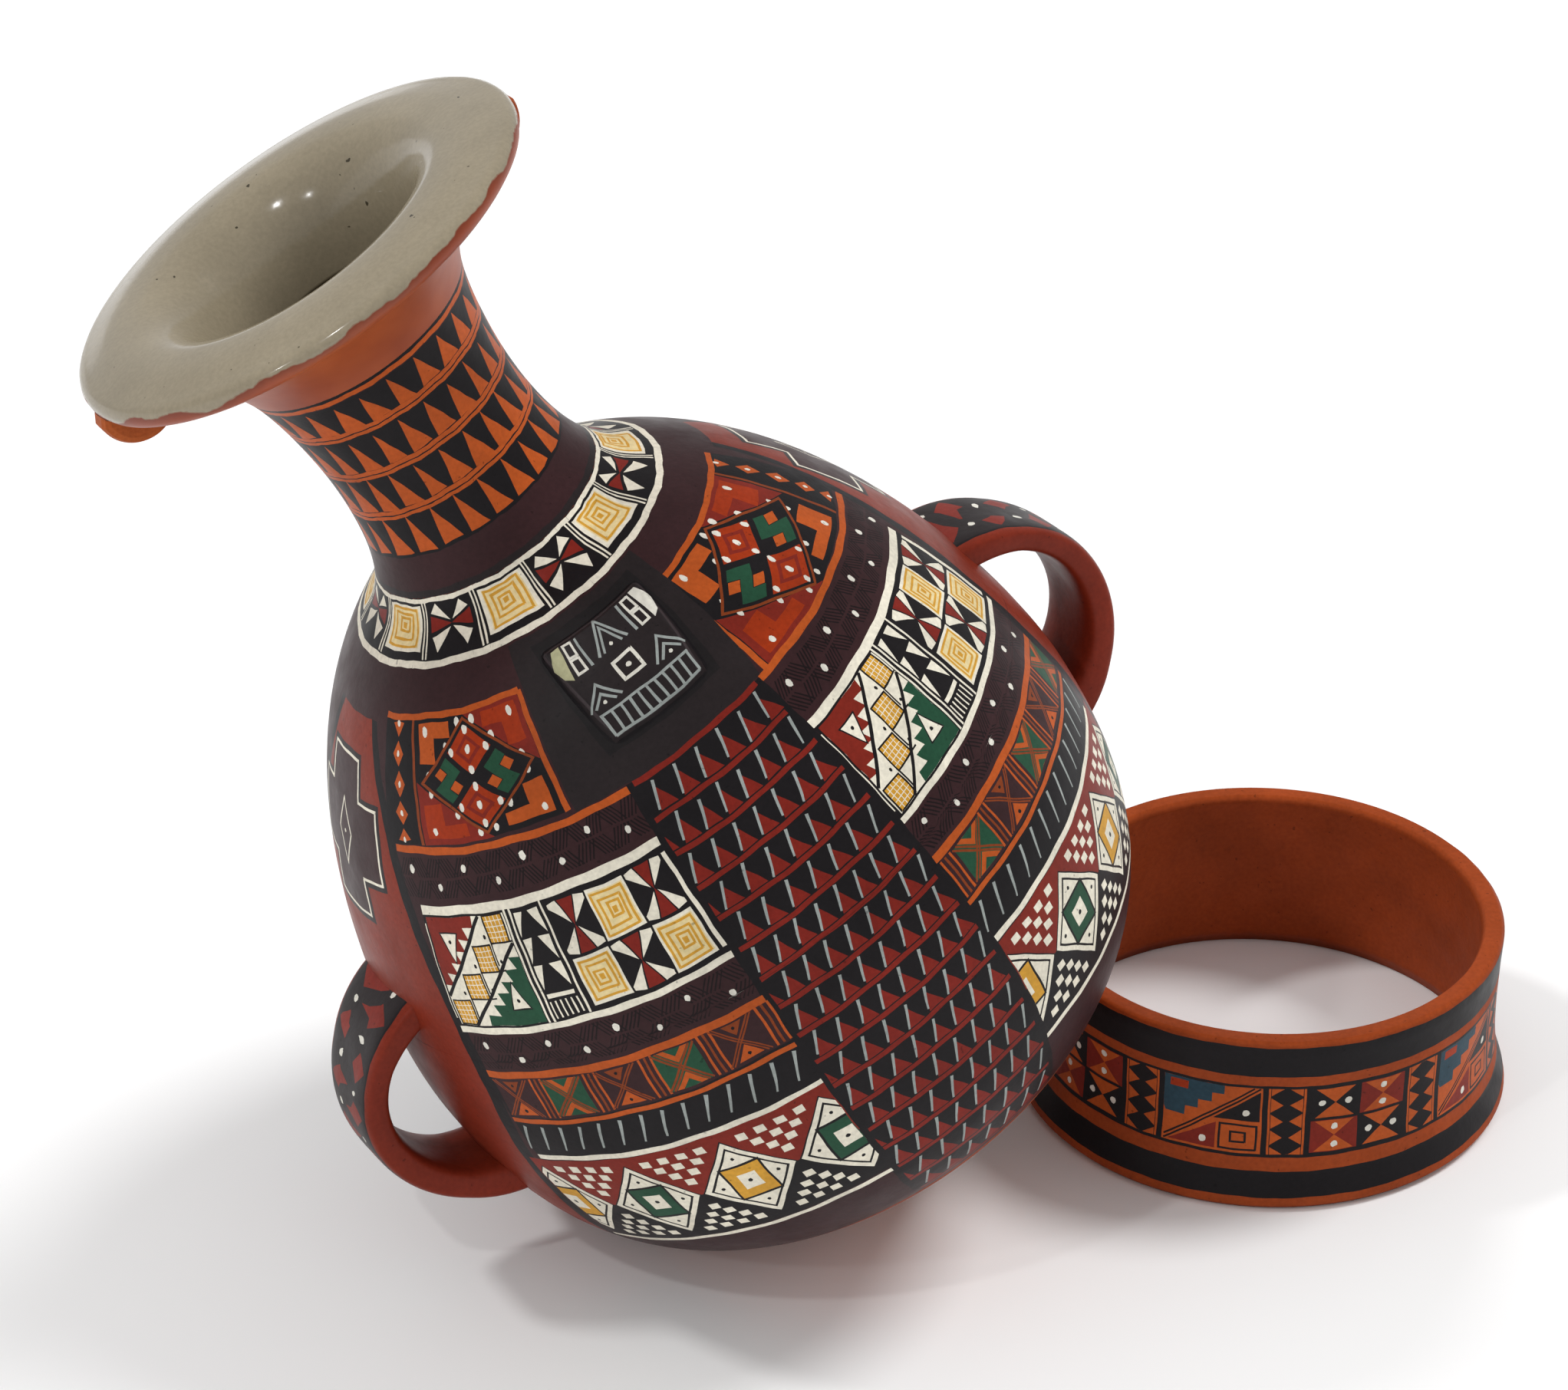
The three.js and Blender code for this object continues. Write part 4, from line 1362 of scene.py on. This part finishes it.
def paint_plaque(p):
    """Pale brush figure: ears, boxes, chevrons, a square with a dot and a ladder. A dark line round
    the foot of the block is painted shade in its corner, and a paler line on its edge is a
    painted highlight."""
    # A black line as painted shade in the corner round the block's foot, and a paler line as a
    # painted highlight on its edge.
    for inward, width, slip in ((0, 3.2, "black"), (2.6, 0.7, "rubbed")):
        half, tall = Plaque.half_wide - inward, Plaque.half_long - inward
        narrow, wide = half - Plaque.widen, half + Plaque.widen
        p.line([(-narrow, -tall), (narrow, -tall), (wide, tall), (-wide, tall)], width, slip,
               closed=True)
    for s in (-1, 1):
        p.fill([(s * 10.2, 11.2), (s * 12.2, 11.0), (s * 13.9, 7.6), (s * 12.4, 4.4),
                (s * 10.6, 3.2)], "white" if s > 0 else "pale")
        x = s * 8.4
        for foot, top in ((3.8, 7.0), (7.6, 10.8)):
            p.line(box(x - 1.0, top, x + 1.0, foot), 0.55, "white", closed=True)
        p.line([(s * 6.0, 11.0), (s * 6.0, 3.8)], 0.6, "grey")
        for size in (3.5, 2.2):
            p.line([(s * 7.9 - size, -4.9), (s * 7.9, size * 1.75 - 6.0),
                    (s * 7.9 + size, -4.9)], 0.55, "grey")
        p.dot((s * 7.9, -4.3), 0.45, "white")
    for size, top in ((3.9, 11.8), (2.5, 9.8)):
        p.line([(-size, 4.4), (0, top), (size, 4.4)], 0.6, "grey")
    p.dot((0, 5.2), 0.5, "white")
    p.line(box(-2.4, 1.6, 2.4, -3.0), 0.75, "white", closed=True)
    p.dot((0, -0.7), 0.6, "white")
    top, foot, rungs = -6.6, -11.9, 11
    p.line([(-10.2, top), (10.2, top)], 0.6, "grey")
    p.line([(-9.6, foot), (9.6, foot)], 0.6, "grey")
    for n in range(rungs):
        x = -9.9 + n * 1.98
        p.line([(x, top), (x * 0.97, foot)], 0.55, "grey")


block = Plaque()
block_paint = Painting(block, 0.12)
paint_plaque(block_paint)
ends = [block.middle - block.reach, block.middle + block.reach]
front = skin("painted_plaque", block.at, np.linspace(*block.span, 77), np.linspace(*ends, 69),
             block_paint.shapes, lambda x, y: "charcoal", ends)
finish_piece(front, slips, "jar", ["front_plaque"])

# The ears keep their solids.
for name in ("lip_ear_left", "lip_ear_right"):
    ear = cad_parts[name]
    ear.data.materials.clear()
    ear.data.materials.append(clay)

# Studio: a pale floor under a soft white sky, two soft suns and small lamps for the highlights.
bpy.ops.mesh.primitive_plane_add(size=12, location=(0, 0, -0.0002))
floor = bpy.context.object
floor.name = "studio_floor"
paper, tree, shader = new_material("matt white paper")
feed(tree, shader, {"Base Color": linear("#f4f4f4"), "Roughness": 0.9, "Specular IOR Level": 0.1})
floor.data.materials.append(paper)

# The sky lights the scene softly and looks white to the camera.
world = bpy.data.worlds.new("soft white sky")
bpy.context.scene.world = world
world.use_nodes = True
tree = world.node_tree
to_camera = node(tree, "ShaderNodeLightPath", {}).outputs["Is Camera Ray"]
strength = node(tree, "ShaderNodeMapRange", {0: to_camera, 3: 0.6, 4: 1.0}).outputs[0]
feed(tree, tree.nodes["Background"], {0: (1, 1, 1, 1), 1: strength})


def light(kind, name, place, aim, power, size):
    """A round lamp of a size in metres, or a sun as many degrees wide, at a place and turned to
    aim. Only the lamps show as highlights."""
    data = bpy.data.lights.new(name, kind)
    data.energy = power
    if kind == "SUN":
        data.angle = math.radians(size)
    else:
        data.shape, data.size = "DISK", size
    made = bpy.data.objects.new(name, data)
    made.location = place
    made.rotation_euler = (Vector(aim) - Vector(place)).to_track_quat("-Z", "Y").to_euler()
    made.visible_glossy = kind != "SUN"
    bpy.context.scene.collection.objects.link(made)


light("SUN", "soft main sun", (0.75, 0.35, 1.25), (0, 0, 0.1), 1.65, 20)
light("SUN", "left sun", (-0.633, 0.112, 0.866), (0, 0, 0.1), 0.85, 7)
light("AREA", "small sharp lamp", (-0.392, -0.584, 0.882), (-0.13, 0, 0.25), 1.0, 0.045)
light("AREA", "second sharp lamp", (-0.56, -0.62, 0.56), (-0.12, 0, 0.25), 0.4, 0.03)

# Camera at the photo's viewing angle. Its focal length is in pixels of the photo's width.
FOCAL_PIXELS, PHOTO_PIXELS, SENSOR, TILT = 6975.65, 2044, 36, 31.08
view = bpy.data.cameras.new("photo view")
view.lens = FOCAL_PIXELS / PHOTO_PIXELS * SENSOR
view.sensor_width = SENSOR
view.clip_start, view.clip_end = 0.05, 20
camera = bpy.data.objects.new("photo view", view)
camera.location = (-0.013366, -1.099232, 0.795315)
camera.rotation_euler = (math.radians(90 - TILT), 0, 0)
bpy.context.scene.collection.objects.link(camera)
bpy.context.scene.camera = camera
bpy.context.scene.view_settings.view_transform = "Standard"
